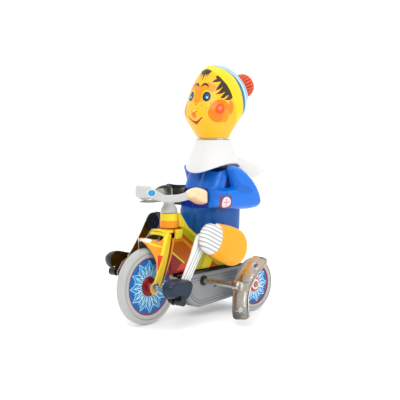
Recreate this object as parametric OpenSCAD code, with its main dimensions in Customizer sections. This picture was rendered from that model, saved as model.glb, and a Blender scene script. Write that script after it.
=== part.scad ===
// Wind-up tin rider on a tricycle.
// Millimetres. +Z is up, the rider faces -Y, its left side is +X.
// The origin is on the floor, in the middle plane, halfway between the axles.

/* [Wheels] */
// Distance between the front and rear axles
wheelbase = 80; // [78:0.5:96]
// Radius of the front wheel over its tyre
front_wheel_r = 25; // [24:0.5:26]
// Radius of the rear wheels over their tyres
rear_wheel_r = 18.5; // [17.5:0.5:20]
// Width of the front tyre
front_tyre_w = 6.6; // [5:0.2:7.6]
// Width of each rear tyre
rear_tyre_w = 5.2; // [4.2:0.2:6.4]
// Distance between the outer faces of the rear tyres
rear_track = 51.4; // [50:0.2:62]
// Height of the tyre band, from its outside to the rim of the disc
tyre_h = 6.2; // [4.5:0.1:7.2]

/* [Tin plate] */
// Thickness of the lithographed sheet
tin = 0.8; // [0.6:0.1:0.9]
// Gap between pieces that move past each other
gap = 0.3; // [0.25:0.05:0.4]
// Radial clearance of a pin in its bore
pin_clear = 0.06; // [0.02:0.01:0.1]

/* [Frame and steering] */
// Width of the printed frame over its two side panels
frame_w = 12.6; // [11.4:0.2:12.8]
// Height of the frame's lower edge above the floor
frame_base_z = 30.6; // [29.6:0.2:32]
// Height of the top of the head tube
head_tube_top_z = 71; // [70:0.5:72]
// Distance from the steering axis back from the front axle
steer_offset = 21; // [20:0.5:22]
// Distance between the outer faces of the fork blades
fork_w = 16; // [15.4:0.2:17]
// Radius of the steering stem
stem_r = 2.4; // [2:0.1:2.8]
// Height of the handlebar's lower edge at the grips
bar_z = 79.6; // [79:0.2:80.4]

/* [Cranks and legs] */
// Radius of the pedal circle
crank_r = 8.2; // [6.5:0.1:9]
// Angle of the left crank below the rear-pointing direction, in degrees
crank_angle = 62; // [40:1:80]
// Radius of the front axle
front_axle_r = 1.6; // [1.3:0.1:1.9]
// Radius of each pedal's spool
pedal_r = 2.8; // [2.2:0.1:3.2]
// Distance from the middle plane to the inner face of each lower leg
leg_x = 20.4; // [20:0.2:22]
// Length from the pedal pin to the knee eyelet
shin_len = 43; // [36:0.5:46]
// Slope of the left shin's pedal-to-knee line, in degrees
left_shin_angle = 52.6; // [48:0.2:56]
// Slope of the right shin's pedal-to-knee line, in degrees
right_shin_angle = 44.6; // [42:0.2:50]
// Distance from the middle plane to the open rim of each thigh
thigh_x = 25; // [24.8:0.2:26.4]
// Length from the hip pin to the middle of the knee cap
thigh_len = 21.2; // [17.5:0.2:23]
// Rise of the left thigh towards the knee, in degrees
left_thigh_angle = 22.8; // [18:0.2:26]
// Rise of the right thigh towards the knee, in degrees
right_thigh_angle = 34; // [30:0.5:36]

/* [Rider] */
// Width of the rider's trunk
torso_w = 36; // [31:0.5:37]
// Height of the collar's top, where the neck comes out
neck_z = 117.6; // [116:0.2:119]
// Height of the head above the neck opening
head_h = 50.4; // [42:0.2:60]
// Radius of the head at its widest
head_r = 21; // [18:0.2:25]
// Distance from the middle plane to the middle of each hand
hand_x = 17; // [16.6:0.2:18]

/* [Clockwork] */
// Gear module of the clockwork
gear_module = 0.75; // [0.7:0.01:0.76]
// Radius of the winding shaft
key_shaft_r = 2.0; // [1.6:0.1:2.3]
// Radius of the key's wings from the shaft's centre
key_wing_r = 22; // [18:0.5:22.5]
// Lean of the key's upper wing towards the rear, in degrees
key_tilt = 28; // [0:1:60]

/* [Hidden] */
$fn = 48;
round_fn = 96;
hull_fn = 32;
eps = 0.01;

front_y = -wheelbase / 2;
rear_y = wheelbase / 2;
front_z = front_wheel_r;
rear_z = rear_wheel_r;
steer_y = front_y + steer_offset;

frame_x = frame_w / 2;
base_t = 1.4;
base_z = frame_base_z - base_t;
frame_front_y = steer_y - 6;
frame_rear_y = rear_y - 4;
frame_nose_z = 66.6;
crown_z = 57;
crown_t = 4;
crown_back_y = steer_y + 6.4;
head_tube_r = 6.2;

blade_x = fork_w / 2;
disc_rim_r = front_wheel_r - tyre_h;
rear_rim_r = rear_wheel_r - tyre_h + 1.7;
axle_reach = 19.2;
crank_t = 1.6;
crank_x = axle_reach - crank_t;
pedal_pin_r = 1.2;
pedal_x0 = leg_x + 3.1;
pedal_x1 = pedal_x0 + 5.5;
left_pedal = [front_y + crank_r * cos(crank_angle), front_z - crank_r * sin(crank_angle)];
right_pedal = [front_y - crank_r * cos(crank_angle), front_z + crank_r * sin(crank_angle)];
knee_r = 7;
ankle_u = shin_len * 0.36;

hip_y = steer_y + 31;
hip_z = 47;
hip_pin_r = 1.5;
thigh_t = 5.5;
knee_cap_r = 9.8;
hip_end_r = 12.8;

torso_x = torso_w / 2;
torso_front_y = steer_y + 23.4;
torso_back_y = torso_front_y + 34;
torso_base_z = 46;
shoulder_z = 97;
neck_y = steer_y + 43.6;
neck_tube_r = 7;
pompom_r = 8.6;
shoulder_y = neck_y + 0.4;
shoulder_pin_z = 89;
shoulder_pin_r = 2;
sleeve_t = 6.6;
saddle_r = 35.6;
saddle_top_z = 101.8;
head_y = neck_y + 2;
pompom_y = head_y + head_r * 1.19 + 3.6;
collar_r0 = 20.3;
collar_r1 = 11.9;
cloth_t = 1;

motor_x = 7.2;
cover_x = 9.4;
key_y = rear_y - 35.7;
key_z = 24;
great_teeth = 38;
pinion_teeth = 10;
lay_teeth = 28;
axle_gear_teeth = 22;
// Pitch radius of a gear
function pitch_r(teeth) = gear_module * teeth / 2;
great_span = pitch_r(great_teeth) + pitch_r(pinion_teeth);
lay_span = pitch_r(lay_teeth) + pitch_r(axle_gear_teeth);
// The layshaft's place: one corner of the triangle between the key shaft and the rear axle
shaft_gap = norm([rear_y - key_y, rear_z - key_z]);
shaft_dir = atan2(rear_z - key_z, rear_y - key_y);
lay_swing = acos((pow(great_span, 2) + pow(shaft_gap, 2) - pow(lay_span, 2)) / (2 * great_span * shaft_gap));
lay_dir = shaft_dir + lay_swing;
lay_y = key_y + great_span * cos(lay_dir);
lay_z = key_z + great_span * sin(lay_dir);
lay_to_rear = atan2(rear_z - lay_z, rear_y - lay_y);
arbor_r = 1.2;
great_x = 0.2;
gear_t = 1.2;
lay_x = 2.6;

// ---- helpers -------------------------------------------------------------

// A sheet whose outline is drawn in the side view (Y, Z), from x0 to x1
module slab(x0, x1) {
    translate([x0, 0, 0]) rotate([90, 0, 90]) linear_extrude(x1 - x0) children();
}

// A round bar along X, centred on (y, z)
module rod(y, z, r, x0, x1, fn = $fn) {
    translate([x0, y, z]) rotate([0, 90, 0]) cylinder(r = r, h = x1 - x0, $fn = fn);
}

// Mirror to the rider's right when side is -1
module on_side(side) {
    mirror([side < 0 ? 1 : 0, 0, 0]) children();
}

// The half of space on one side of the middle plane
module half_space(side) {
    on_side(side) translate([0, -150, -10]) cube([150, 300, 200]);
}

// A part turned about the X axis through (y, z)
module wheel_at(y, z) {
    translate([0, y, z]) rotate([0, 90, 0]) rotate_extrude($fn = round_fn) children();
}

// Points along an arc
function arc(c, r, a0, a1, n) = [for (i = [0 : n]) c + r * [cos(a0 + (a1 - a0) * i / n), sin(a0 + (a1 - a0) * i / n)]];

// Gear outline with straight-flanked teeth that are thinner than their gaps
module gear_outline(teeth, turn) {
    pitch = 360 / teeth;
    root = pitch_r(teeth) - 1.25 * gear_module;
    tip = pitch_r(teeth) + 0.8 * gear_module;
    polygon([for (i = [0 : teeth - 1], p = [[-0.25, root], [-0.09, tip], [0.09, tip], [0.25, root]])
        p[1] * [cos(turn + (i + p[0]) * pitch), sin(turn + (i + p[0]) * pitch)]]);
}

// A gear wheel with a bored centre
module gear(y, z, teeth, turn, x, thick, bore) {
    difference() {
        translate([0, y, z]) slab(x, x + thick) gear_outline(teeth, turn);
        rod(y, z, bore, x - 1, x + thick + 1);
    }
}

// ---- frame ---------------------------------------------------------------

// Side outline of the frame, drawn in by the given amount
module frame_outline(inset = 0) {
    d = inset;
    polygon([[frame_front_y + d, frame_base_z - (d > 0 ? 1 : 0)], [frame_front_y + d, crown_z - 9],
        [frame_front_y + 4 + d, crown_z - 0.8 - d], [crown_back_y + gap + d, crown_z - 0.8 - d],
        [crown_back_y + gap + d, frame_nose_z - 2.6 - d * 1.4], [frame_rear_y - d * 2.4, frame_base_z - (d > 0 ? 1 : 0)]]);
}

module frame_half(side) {
    color("yellow") intersection() {
        difference() {
            slab(-frame_x, frame_x) frame_outline();
            slab(-frame_x + tin, frame_x - tin) frame_outline(tin);
            rod(front_y, front_z, front_wheel_r + 3, -front_tyre_w / 2 - 1, front_tyre_w / 2 + 1, round_fn);
            rod(lay_y, lay_z, pitch_r(lay_teeth) + 1.2, lay_x - gap, lay_x + gear_t + gap, round_fn);
        }
        half_space(side);
    }
}

module head_tube() {
    color("orange") difference() {
        union() {
            translate([0, steer_y, crown_z + crown_t + gap]) cylinder(r = head_tube_r, h = 5);
            translate([0, steer_y, crown_z + crown_t + gap + 5])
                cylinder(r = head_tube_r - 0.5, h = head_tube_top_z - crown_z - crown_t - gap - 5);
            translate([-3, steer_y, crown_z + crown_t + gap]) cube([6, crown_back_y + gap - steer_y, 2.2]);
        }
        translate([0, steer_y, 0]) cylinder(r = stem_r + pin_clear, h = 100);
    }
}

module base_plate() {
    color("black") difference() {
        slab(-8.2, 8.2) polygon([[frame_front_y + 5, base_z], [frame_front_y + 5, frame_base_z - eps],
            [rear_y + 7, frame_base_z - eps], [rear_y + 7, base_z]]);
        rod(front_y, front_z, front_wheel_r + 3, -front_tyre_w / 2 - 1, front_tyre_w / 2 + 1, round_fn);
        translate([-frame_x + tin, key_y - spring_outer - 1, base_z - 1])
            cube([frame_w - 2 * tin, lay_y + pitch_r(lay_teeth) + 1 - key_y + spring_outer, 4]);
    }
}

// ---- clockwork -----------------------------------------------------------

// Boat-shaped side outline of the motor cover
module cover_outline(inset = 0) {
    front_r = 18.3 - inset;
    rear_r = pitch_r(axle_gear_teeth) + 0.8 * gear_module + 0.35 + tin - inset;
    top = base_z;
    polygon(concat([[key_y - front_r, top + inset]],
        arc([key_y, key_z], front_r, 180, 262, 14),
        arc([rear_y, rear_z], rear_r, 278, 360, 8),
        [[rear_y + rear_r, top + inset]]));
}

module motor_cover() {
    color("slategray") difference() {
        union() {
            slab(-cover_x, cover_x) cover_outline();
        }
        slab(-cover_x + tin, cover_x - tin) cover_outline(tin);
        rod(key_y, key_z, 2.9, 0, 20);
        rod(rear_y, rear_z, arbor_r + 1, -20, 20);
        rod(key_y + 11.7, key_z - 5, 1, 0, 20);
    }
}

module key_bush() {
    color("black") difference() {
        union() {
            rod(key_y, key_z, 2.9 - eps, motor_x, cover_x);
            rod(key_y, key_z, 3.4, cover_x, cover_x + 0.9);
        }
        rod(key_y, key_z, key_shaft_r + pin_clear, 0, 20);
    }
}

pillar_r = 0.9;
pillar_pin_r = 0.6;
pillar_dir = 171;
pillar_reach = pitch_r(great_teeth) + gear_module + gap + pillar_r;
spring_outer = pillar_reach - pillar_r - 0.47;
pillar_places = [[key_y + pillar_reach * cos(pillar_dir), key_z + pillar_reach * sin(pillar_dir)],
    [lay_y + 12.2, lay_z + 3], [lay_y + 4.5, lay_z - 11.9]];

module motor_plate(side) {
    color("silver") difference() {
        on_side(side) slab(motor_x - tin, motor_x - eps) polygon(concat(
            [[key_y - 17.3, base_z]], arc([key_y, key_z], 17.3, 180, 262, 12),
            arc([rear_y, rear_z], 5.5, 270, 360, 6), [[rear_y + 5.6, base_z]]));
        rod(key_y, key_z, key_shaft_r + pin_clear, -20, 20);
        rod(lay_y, lay_z, arbor_r + pin_clear, -20, 20);
        rod(rear_y, rear_z, arbor_r + 0.4 + pin_clear, -20, 20);
        for (p = pillar_places) rod(p[0], p[1], pillar_pin_r, -20, 20);
    }
}

module motor_pillars() {
    color("silver") for (p = pillar_places) {
        rod(p[0], p[1], pillar_r, -motor_x + tin, motor_x - tin);
        rod(p[0], p[1], pillar_pin_r, -motor_x, motor_x);
    }
}

module mainspring() {
    turns = 5;
    steps = 24 * turns;
    inner = key_shaft_r + 0.7;
    outer = spring_outer;
    strip = 0.45;
    color("dimgray") translate([0, key_y, key_z]) slab(-frame_x + tin + gap, -0.6) polygon(concat(
        [for (i = [0 : steps]) (inner + (outer - inner) * i / steps) * [cos(pillar_dir + i * 15), sin(pillar_dir + i * 15)]],
        [for (i = [steps : -1 : 0]) (inner + strip + (outer - inner) * i / steps) * [cos(pillar_dir + i * 15), sin(pillar_dir + i * 15)]]));
}

module winding_shaft() {
    color("silver") rod(key_y, key_z, key_shaft_r, -motor_x, 41.8);
}

module great_wheel() {
    color("goldenrod") gear(key_y, key_z, great_teeth, lay_dir, great_x, gear_t, key_shaft_r);
}

module ratchet_wheel() {
    teeth = 14;
    color("silver") difference() {
        translate([0, key_y, key_z]) slab(great_x + gear_t, great_x + gear_t + 1)
            polygon([for (i = [0 : teeth - 1], p = [[0, 5], [0.08, 6.2]])
                p[1] * [cos((i + p[0]) * 360 / teeth), sin((i + p[0]) * 360 / teeth)]]);
        rod(key_y, key_z, key_shaft_r, -1, 20);
    }
}

module click_spring() {
    color("silver") translate([0, key_y, key_z]) {
        slab(great_x + gear_t, great_x + gear_t + 0.8) polygon(concat(arc([0, 0], 9.4, 20, 120, 10), arc([0, 0], 8.6, 120, 20, 10)));
        slab(great_x + gear_t, great_x + gear_t + 0.8) rotate(20) polygon([[6.5, 0], [9.4, 0], [9.2, 1.4], [6.5, 0.8]]);
    }
}

module key_handle() {
    color("silver") difference() {
        translate([0, key_y, key_z]) rotate([-key_tilt, 0, 0]) union() {
            translate([0, tin / 2, 0]) rotate([90, 0, 0]) linear_extrude(tin) union() {
                for (s = [1, -1]) scale([1, s]) polygon(concat(
                    [[36, 0], [36.4, 3.4], [38.2, 8], [40, 12.6], [42.6, 17]],
                    arc([46.4, key_wing_r - 2.2], 2.2, 155, 80, 5),
                    arc([55.4, key_wing_r - 4.2], 2, 75, -30, 6), [[53.4, 9.4], [51.4, 4], [50.8, 0]]));
            }
            for (side = [1, -1]) translate([36, side * 0.4, 0]) rotate([0, 90, 0]) cylinder(r = key_shaft_r + 0.9, h = 6);
        }
        rod(key_y, key_z, key_shaft_r, 30, 41.8);
        translate([0, key_y, key_z]) rotate([-key_tilt, 0, 0]) for (s = [1, -1])
            translate([48.6, 5, s * 15.4]) rotate([90, 0, 0]) cylinder(r = 1.8, h = 10);
    }
}

module layshaft() {
    color("silver") rod(lay_y, lay_z, arbor_r, -motor_x, motor_x);
}

module layshaft_pinion() {
    color("goldenrod") gear(lay_y, lay_z, pinion_teeth, lay_dir + 180 + 180 / pinion_teeth, great_x - 0.6, gear_t + 1.2, arbor_r);
}

module layshaft_wheel() {
    color("goldenrod") gear(lay_y, lay_z, lay_teeth, lay_to_rear, lay_x, gear_t, arbor_r);
}

module axle_gear() {
    color("goldenrod") gear(rear_y, rear_z, axle_gear_teeth, lay_to_rear + 180 + 180 / axle_gear_teeth, lay_x - 0.2, gear_t + 0.4, arbor_r + 0.4);
}

// ---- rear wheels ---------------------------------------------------------

rear_out = rear_track / 2;
rear_in = rear_out - rear_tyre_w;

module rear_axle() {
    color("silver") rod(rear_y, rear_z, arbor_r + 0.4, -rear_out - 2.9, rear_out + 2.9);
}

// Dished tin disc, from the hub out to the tyre
module rear_disc(side) {
    color("royalblue") on_side(side) translate([0, rear_y, rear_z]) rotate([0, 90, 0]) rotate_extrude($fn = round_fn)
        polygon([[arbor_r + 0.4, rear_out - 1.6], [rear_rim_r, rear_out - 0.9], [rear_rim_r, rear_in + 0.6],
            [rear_rim_r - tin, rear_in + 0.6], [rear_rim_r - tin, rear_out - 0.9 - tin], [arbor_r + 0.4, rear_out - 1.6 - tin]]);
}

// Section of a tyre with rounded shoulders, between two radii and two faces
function tyre_section(r0, r1, x0, x1, f) = concat([[r0, x0]], arc([r1 - f, x0 + f], f, -90, 0, 5),
    arc([r1 - f, x1 - f], f, 0, 90, 5), [[r0, x1]]);

module rear_tyre(side) {
    color("lightgray") on_side(side) wheel_at(rear_y, rear_z)
        polygon(tyre_section(rear_rim_r, rear_wheel_r, rear_in, rear_out, 1.2));
}

module rear_hub(side) {
    color("crimson") on_side(side) difference() {
        rod(rear_y, rear_z, 4.6, rear_out - 1.4, rear_out + 1.6);
        rod(rear_y, rear_z, arbor_r + 0.4, 0, 60);
    }
}

// ---- front fork and steering ---------------------------------------------

module blade_outline() {
    polygon(concat([[front_y - 10.6, crown_z - 1.6]],
        [[front_y - 3.3, crown_z - 7.4], [front_y + 0.6, crown_z - 13], [front_y + 1.8, crown_z - 19], [front_y + 0.6, crown_z - 27]],
        arc([front_y, front_z - 0.6], 4.2, 160, 330, 12),
        [[steer_y - 2.6, crown_z + 0.2], [steer_y - 6, crown_z + 0.2], [steer_y - 10, crown_z - 4], [front_y + 4, crown_z - 2.6]]));
}

module fork() {
    color("gold") difference() {
        union() {
            for (s = [1, -1]) on_side(s) slab(blade_x - tin, blade_x) blade_outline();
            for (s = [1, -1]) on_side(s) rod(front_y, front_z, 3, front_tyre_w / 2 + 1.2, blade_x - tin);
            for (s = [1, -1]) on_side(s) slab(blade_x - tin, blade_x) polygon([[steer_y - 8, crown_z - 3],
                [steer_y + 5, crown_z - 3], [steer_y + 5, crown_z + crown_t], [steer_y - 8, crown_z + crown_t]]);
            slab(-blade_x, blade_x) polygon([[steer_y - 9.5, crown_z + crown_t - 1.6], [steer_y - 9.5, crown_z + crown_t],
                [steer_y + 5, crown_z + crown_t], [steer_y + 5, crown_z + crown_t - 1.6]]);
        }
        rod(front_y, front_z, front_axle_r + pin_clear, -20, 20);
        translate([0, steer_y, 0]) cylinder(r = stem_r, h = 100);
    }
}

module mudguard() {
    r = front_wheel_r + 5.6;
    color("orange") difference() {
        intersection() {
            rod(front_y, front_z, r, -blade_x + tin + eps, blade_x - tin - eps, round_fn);
            slab(-20, 20) polygon([[front_y - 22, 80], [front_y, front_z + 10], [front_y + 8, 80]]);
        }
        rod(front_y, front_z, r - tin, -20, 20, round_fn);
    }
}

module steering_stem() {
    color("silver") translate([0, steer_y, crown_z + crown_t - 1.6]) cylinder(r = stem_r, h = bar_z + 1 - crown_z - crown_t + 1.6);
}

module stem_cone() {
    color("darkgray") difference() {
        translate([0, steer_y, head_tube_top_z + gap]) rotate_extrude($fn = round_fn)
            polygon([[stem_r, 0], [5.6, 0], [5.4, 2.6], [3.8, 5.4], [3.6, bar_z - head_tube_top_z - gap], [stem_r, bar_z - head_tube_top_z - gap]]);
        translate([0, steer_y, 0]) cylinder(r = stem_r, h = 100);
    }
}

// Middle line of the left half of the handlebar in plan, from the nose to the grip
bar_line = [[0, front_y - 4.2], [4.2, front_y - 2.6], [7.4, front_y + 2.6], [10.4, front_y + 8], [13.2, front_y + 14],
    [hand_x - 2.2, front_y + 22], [hand_x - 1.8, front_y + 31]];
bar_path = concat([for (i = [len(bar_line) - 1 : -1 : 1]) [-bar_line[i][0], bar_line[i][1]]], bar_line);

// Unit normal of a path at one of its points
function path_normal(p, i) = let (d = p[min(i + 1, len(p) - 1)] - p[max(i - 1, 0)]) [-d[1], d[0]] / norm(d);

// A strip of even width along a path, in plan
module strip(p, w) {
    polygon(concat([for (i = [0 : len(p) - 1]) p[i] + path_normal(p, i) * w / 2],
        [for (i = [len(p) - 1 : -1 : 0]) p[i] - path_normal(p, i) * w / 2]));
}

module handlebar() {
    color("silver") difference() {
        union() {
            translate([0, 0, bar_z]) linear_extrude(5.8) strip(bar_path, 2.6);
            translate([0, front_y + 0.6, bar_z]) cylinder(r = 5.4, h = 9.6);
            translate([-2.4, front_y, bar_z]) cube([4.8, steer_y - front_y, 1.2]);
            translate([0, steer_y, bar_z]) cylinder(r = 4.6, h = 1.2);
        }
        translate([0, steer_y, 0]) cylinder(r = stem_r, h = 100);
    }
}

// ---- front wheel, cranks and pedals --------------------------------------

module front_axle() {
    color("silver") rod(front_y, front_z, front_axle_r, -axle_reach, axle_reach);
}

module front_disc(side) {
    out = front_tyre_w / 2 - 0.4;
    color("royalblue") on_side(side) translate([0, front_y, front_z]) rotate([0, 90, 0]) rotate_extrude($fn = round_fn)
        polygon([[front_axle_r, out - 1.2 - tin], [front_axle_r, out + 0.8], [4, out + 0.8], [6, out - 0.6], [disc_rim_r, out],
            [disc_rim_r, eps], [disc_rim_r - tin, eps], [disc_rim_r - tin, out - tin], [5.6, out - 1.4 - tin + 0.2]]);
}

module front_tyre() {
    color("lightgray") wheel_at(front_y, front_z)
        polygon(tyre_section(disc_rim_r, front_wheel_r, -front_tyre_w / 2, front_tyre_w / 2, 1.6));
}

module crank(side) {
    p = side > 0 ? left_pedal : right_pedal;
    color("black") on_side(side) difference() {
        hull() {
            rod(front_y, front_z, 2.8, crank_x, axle_reach, hull_fn);
            rod(p[0], p[1], 2.2, crank_x, axle_reach, hull_fn);
        }
        rod(front_y, front_z, front_axle_r, 0, 40);
        rod(p[0], p[1], pedal_pin_r, 0, 40);
    }
}

module pedal(side) {
    p = side > 0 ? left_pedal : right_pedal;
    color("black") on_side(side) {
        rod(p[0], p[1], pedal_pin_r, crank_x, pedal_x0 + eps);
        rod(p[0], p[1], pedal_r, pedal_x0, pedal_x1);
    }
}

// ---- legs ----------------------------------------------------------------

// Lower leg in its own side view: pedal pin at the origin, knee eyelet straight ahead along +Y
module leg_shell(x0, x1, inset) {
    r = knee_r - inset;
    hull() {
        rod(shin_len, 1, r, x0, x1 - 1, hull_fn);
        rod(shin_len, 1, r - 1.2, x0, x1, hull_fn);
        rod(ankle_u, -1.4, 3.8 - inset, x0, x1 - 0.6, hull_fn);
    }
}

// Shoe outline: the toe forwards and up, the sole over the pedal, the heel behind it
module shoe_outline(inset) {
    d = inset;
    polygon(concat(arc([2.4, 14.4], 4.9 - d, 20, 190, 9), arc([2, 9.6], 5 - d, 185, 200, 3),
        [[-0.9 + d, 3.6], [0.7 + d, -1.6]], arc([6, -3.4], 3 - d, 215, 285, 5), arc([10.6, -1], 3.8 - d, 290, 390, 6)));
}

module lower_leg(side) {
    p = side > 0 ? left_pedal : right_pedal;
    slope = side > 0 ? left_shin_angle : right_shin_angle;
    x1 = leg_x + 2.6;
    color("white") on_side(side) translate([0, p[0], p[1]]) rotate([slope, 0, 0]) difference() {
        union() {
            difference() {
                leg_shell(leg_x, x1, 0);
                leg_shell(leg_x + tin, x1 - tin, tin);
            }
            difference() {
                slab(leg_x, leg_x + 7) shoe_outline(0);
                slab(leg_x + tin, leg_x + 7 - tin) shoe_outline(tin);
            }
            rod(0, 0, 3, leg_x, leg_x + tin);
        }
        rod(0, 0, pedal_pin_r + pin_clear, 0, 40);
        rod(0, 0, pedal_r + gap, leg_x + tin + eps, 40);
        rod(shin_len, 0, 1.5, 0, 40);
    }
}

module thigh_body(r_knee, r_hip, x0, x1, bulge) {
    hull() {
        rod(-thigh_len, 0, r_knee, x0, x1 - bulge, hull_fn);
        rod(-thigh_len, 0, r_knee - bulge * 1.3, x0, x1, hull_fn);
        rod(2.5, 1.2, r_hip, x0, x1 - bulge, hull_fn);
        rod(2.5, 1.2, r_hip - bulge * 1.3, x0, x1, hull_fn);
        rod(-thigh_len * 0.6, 0.6, (r_knee + r_hip) / 2 + 0.5, x0, x1 - bulge, hull_fn);
    }
}

module thigh(side) {
    rise = side > 0 ? left_thigh_angle : right_thigh_angle;
    color("orange") on_side(side) translate([0, hip_y, hip_z]) rotate([-rise, 0, 0]) difference() {
        union() {
            difference() {
                thigh_body(knee_cap_r, hip_end_r, thigh_x, thigh_x + thigh_t, 2);
                thigh_body(knee_cap_r - tin, hip_end_r - tin, thigh_x - 1, thigh_x + thigh_t - tin, 2);
            }
            rod(0, 0, 3, thigh_x, thigh_x + thigh_t - tin + eps);
        }
        rod(0, 0, hip_pin_r + pin_clear, 0, thigh_x + thigh_t - tin);
    }
}

module hip_pin(side) {
    color("silver") on_side(side) {
        rod(hip_y, hip_z, hip_pin_r, torso_x - tin - 1, thigh_x + thigh_t - tin - gap);
        rod(hip_y, hip_z, 2.6, torso_x, torso_x + 1);
    }
}

// ---- rider ---------------------------------------------------------------

// One level of the trunk: a slab with rounded corners
module trunk_level(x, y0, y1, z, r) {
    for (sx = [1, -1], y = [y0 + r, y1 - r]) translate([sx * (x - r), y, z]) cylinder(r = r, h = 0.5, $fn = hull_fn);
}

module trunk(inset) {
    d = inset;
    hull() {
        trunk_level(torso_x - d, torso_front_y - 1 + d, torso_back_y - 1 - d, torso_base_z - (d > 0 ? 2 : 0), 7);
        trunk_level(torso_x - d, torso_front_y + d, torso_back_y - d, 70, 7);
        trunk_level(torso_x - 2.4 - d, torso_front_y + 6 + d, torso_back_y - 1 - d, 88, 7);
        trunk_level(torso_x - 5.4 - d, torso_front_y + 10.5 + d, torso_back_y - 3 - d, shoulder_z - d, 7);
        translate([0, neck_y, shoulder_z + 2.4 - d]) cylinder(r = 9.6 - d, h = 0.5, $fn = hull_fn);
    }
}

module torso(side) {
    color("royalblue") intersection() {
        difference() {
            trunk(0);
            trunk(tin);
            slab(-frame_x, frame_x) polygon([[frame_front_y - 20, 0], [frame_front_y - 20, frame_nose_z + 14],
                [crown_back_y + gap, frame_nose_z - 2.6 + eps], [frame_rear_y, frame_base_z + eps]]);
            rod(hip_y, hip_z, hip_pin_r, -40, 40);
            translate([0, neck_y, 80]) cylinder(r = neck_tube_r, h = 40);
            rod(shoulder_y, shoulder_pin_z, shoulder_pin_r, -40, 40);
        }
        half_space(side);
    }
}

// Side outline of a sleeve: shoulder, elbow and cuff
module sleeve_outline(d) {
    s = steer_y;
    polygon(concat([[s + 18.4 + d, bar_z + 8.4 - d], [s + 28, bar_z + 6.8 - d], [s + 38.6 + d, bar_z + 6.4 - d],
        [s + 35.4 + d, shoulder_z + 1]], arc([s + 44, shoulder_z - 8], 11 - d, 112, 40, 6),
        arc([s + 58, bar_z + 0.6], 10 - d, 30, -70, 8), [[s + 50, bar_z - 9 + d], [s + 18.4 + d, bar_z - 5.6 + d]]));
}

module arm(side) {
    x0 = torso_x;
    color("blue") on_side(side) {
        difference() {
            slab(x0, x0 + sleeve_t) sleeve_outline(0);
            slab(x0 - 1, x0 + sleeve_t - tin) sleeve_outline(tin);
        }
        rod(shoulder_y, shoulder_pin_z, shoulder_pin_r, torso_x - 5, x0 + sleeve_t - tin + eps);
    }
}

module hand_body(d, x0, x1) {
    hull() {
        rod(steer_y + 12.4, bar_z + 2.2, 6 - d, x0, x1 - 1.6, hull_fn);
        rod(steer_y + 12.4, bar_z + 2.2, 4.4 - d, x0, x1, hull_fn);
        rod(steer_y + 5.4, bar_z + 2.9, 3.6 - d, x0, x1 - 1.2, hull_fn);
    }
}

module hand(side) {
    x0 = hand_x - 3.4;
    color("peachpuff") on_side(side) difference() {
        hand_body(0, x0, hand_x + 3.6);
        hand_body(tin, x0 - 1, hand_x + 3.6 - tin);
        translate([x0 - 1, steer_y + 18.4, 60]) cube([20, 20, 40]);
        translate([x0 - 1, steer_y - 10, bar_z - 0.4]) cube([hand_x + 1.4 - x0 + 1, 16, 6.6]);
    }
}

module neck_tube() {
    color("silver") difference() {
        union() {
            translate([0, neck_y, shoulder_z - 4]) cylinder(r = neck_tube_r, h = neck_z - shoulder_z + 5.4);
            translate([0, neck_y, shoulder_z + 2.9]) cylinder(r = 8.4, h = 1);
            translate([0, neck_y, neck_z - 1.4]) cylinder(r = collar_r1 - cloth_t - 0.5, h = 1.4);
            translate([0, head_y - head_levels[0][1], neck_z]) linear_extrude(1.4) polygon(head_ring(head_levels[0], tin + 0.05));
        }
        translate([0, neck_y, shoulder_z - 6]) cylinder(r = neck_tube_r - tin, h = neck_z);
    }
}

// Level cuts through the head: share of the height, centre (forwards of the head axis), then the
// half width, front depth and back depth as shares of the head radius. The cap leans back.
head_levels = [[0, 0.8, 0.505, 0.514, 0.39], [0.067, 1.3, 0.61, 0.619, 0.419], [0.187, 1.1, 0.786, 0.81, 0.524],
    [0.306, 0.2, 0.933, 0.986, 0.733], [0.365, -0.3, 0.971, 1.019, 0.857], [0.435, -0.7, 0.971, 1, 0.971],
    [0.504, -0.8, 0.943, 0.943, 1.095], [0.583, -0.7, 0.89, 0.881, 1.21], [0.663, -0.5, 0.814, 0.805, 1.229],
    [0.762, 0, 0.695, 0.676, 1.162], [0.861, 0.7, 0.533, 0.514, 0.971], [0.931, 1.4, 0.381, 0.362, 0.771],
    [0.972, 1.8, 0.248, 0.229, 0.548], [0.998, 2.1, 0.12, 0.11, 0.2]];

function head_ring(l, d) = [for (a = [0 : 12 : 348])
    [max(l[2] * head_r - d, 0.3) * cos(a), max((a > 180 ? l[3] : l[4]) * head_r - d, 0.3) * sin(a)]];

module head_form(d) {
    hull() for (l = head_levels) {
        drop = l[0] == 0 ? (d > 0 ? 1 : 0) : d * pow(l[0], 3);
        translate([0, head_y - l[1], neck_z + l[0] * head_h - drop]) linear_extrude(0.1)
            polygon(head_ring(l, d));
    }
}

module head(side) {
    color("orange") intersection() {
        difference() {
            head_form(0);
            head_form(tin);
        }
        half_space(side);
    }
}

module pompom() {
    color("orangered") difference() {
        translate([0, pompom_y, neck_z + head_h * 0.718]) sphere(r = pompom_r, $fn = 36);
        head_form(0);
    }
}

module collar() {
    color("white") difference() {
        translate([0, neck_y, 0]) rotate_extrude($fn = round_fn) polygon([[collar_r1, neck_z], [collar_r1 - cloth_t, neck_z],
            [collar_r0 + 1 - cloth_t, 93], [collar_r0 + 1, 93]]);
        translate([-40, neck_y, saddle_top_z - saddle_r]) rotate([0, 90, 0]) cylinder(r = saddle_r, h = 80, $fn = 180);
    }
}

module scarf_tail() {
    s = steer_y;
    color("white") slab(3.6, 4.8) polygon([[neck_y + 16.6, 105.6], [s + 66.4, 104], [s + 81, 99.8], [s + 96, 93.2],
        [s + 82, 89], [s + 67.6, 95.4], [neck_y + 19.4, 98.4]]);
}

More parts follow.
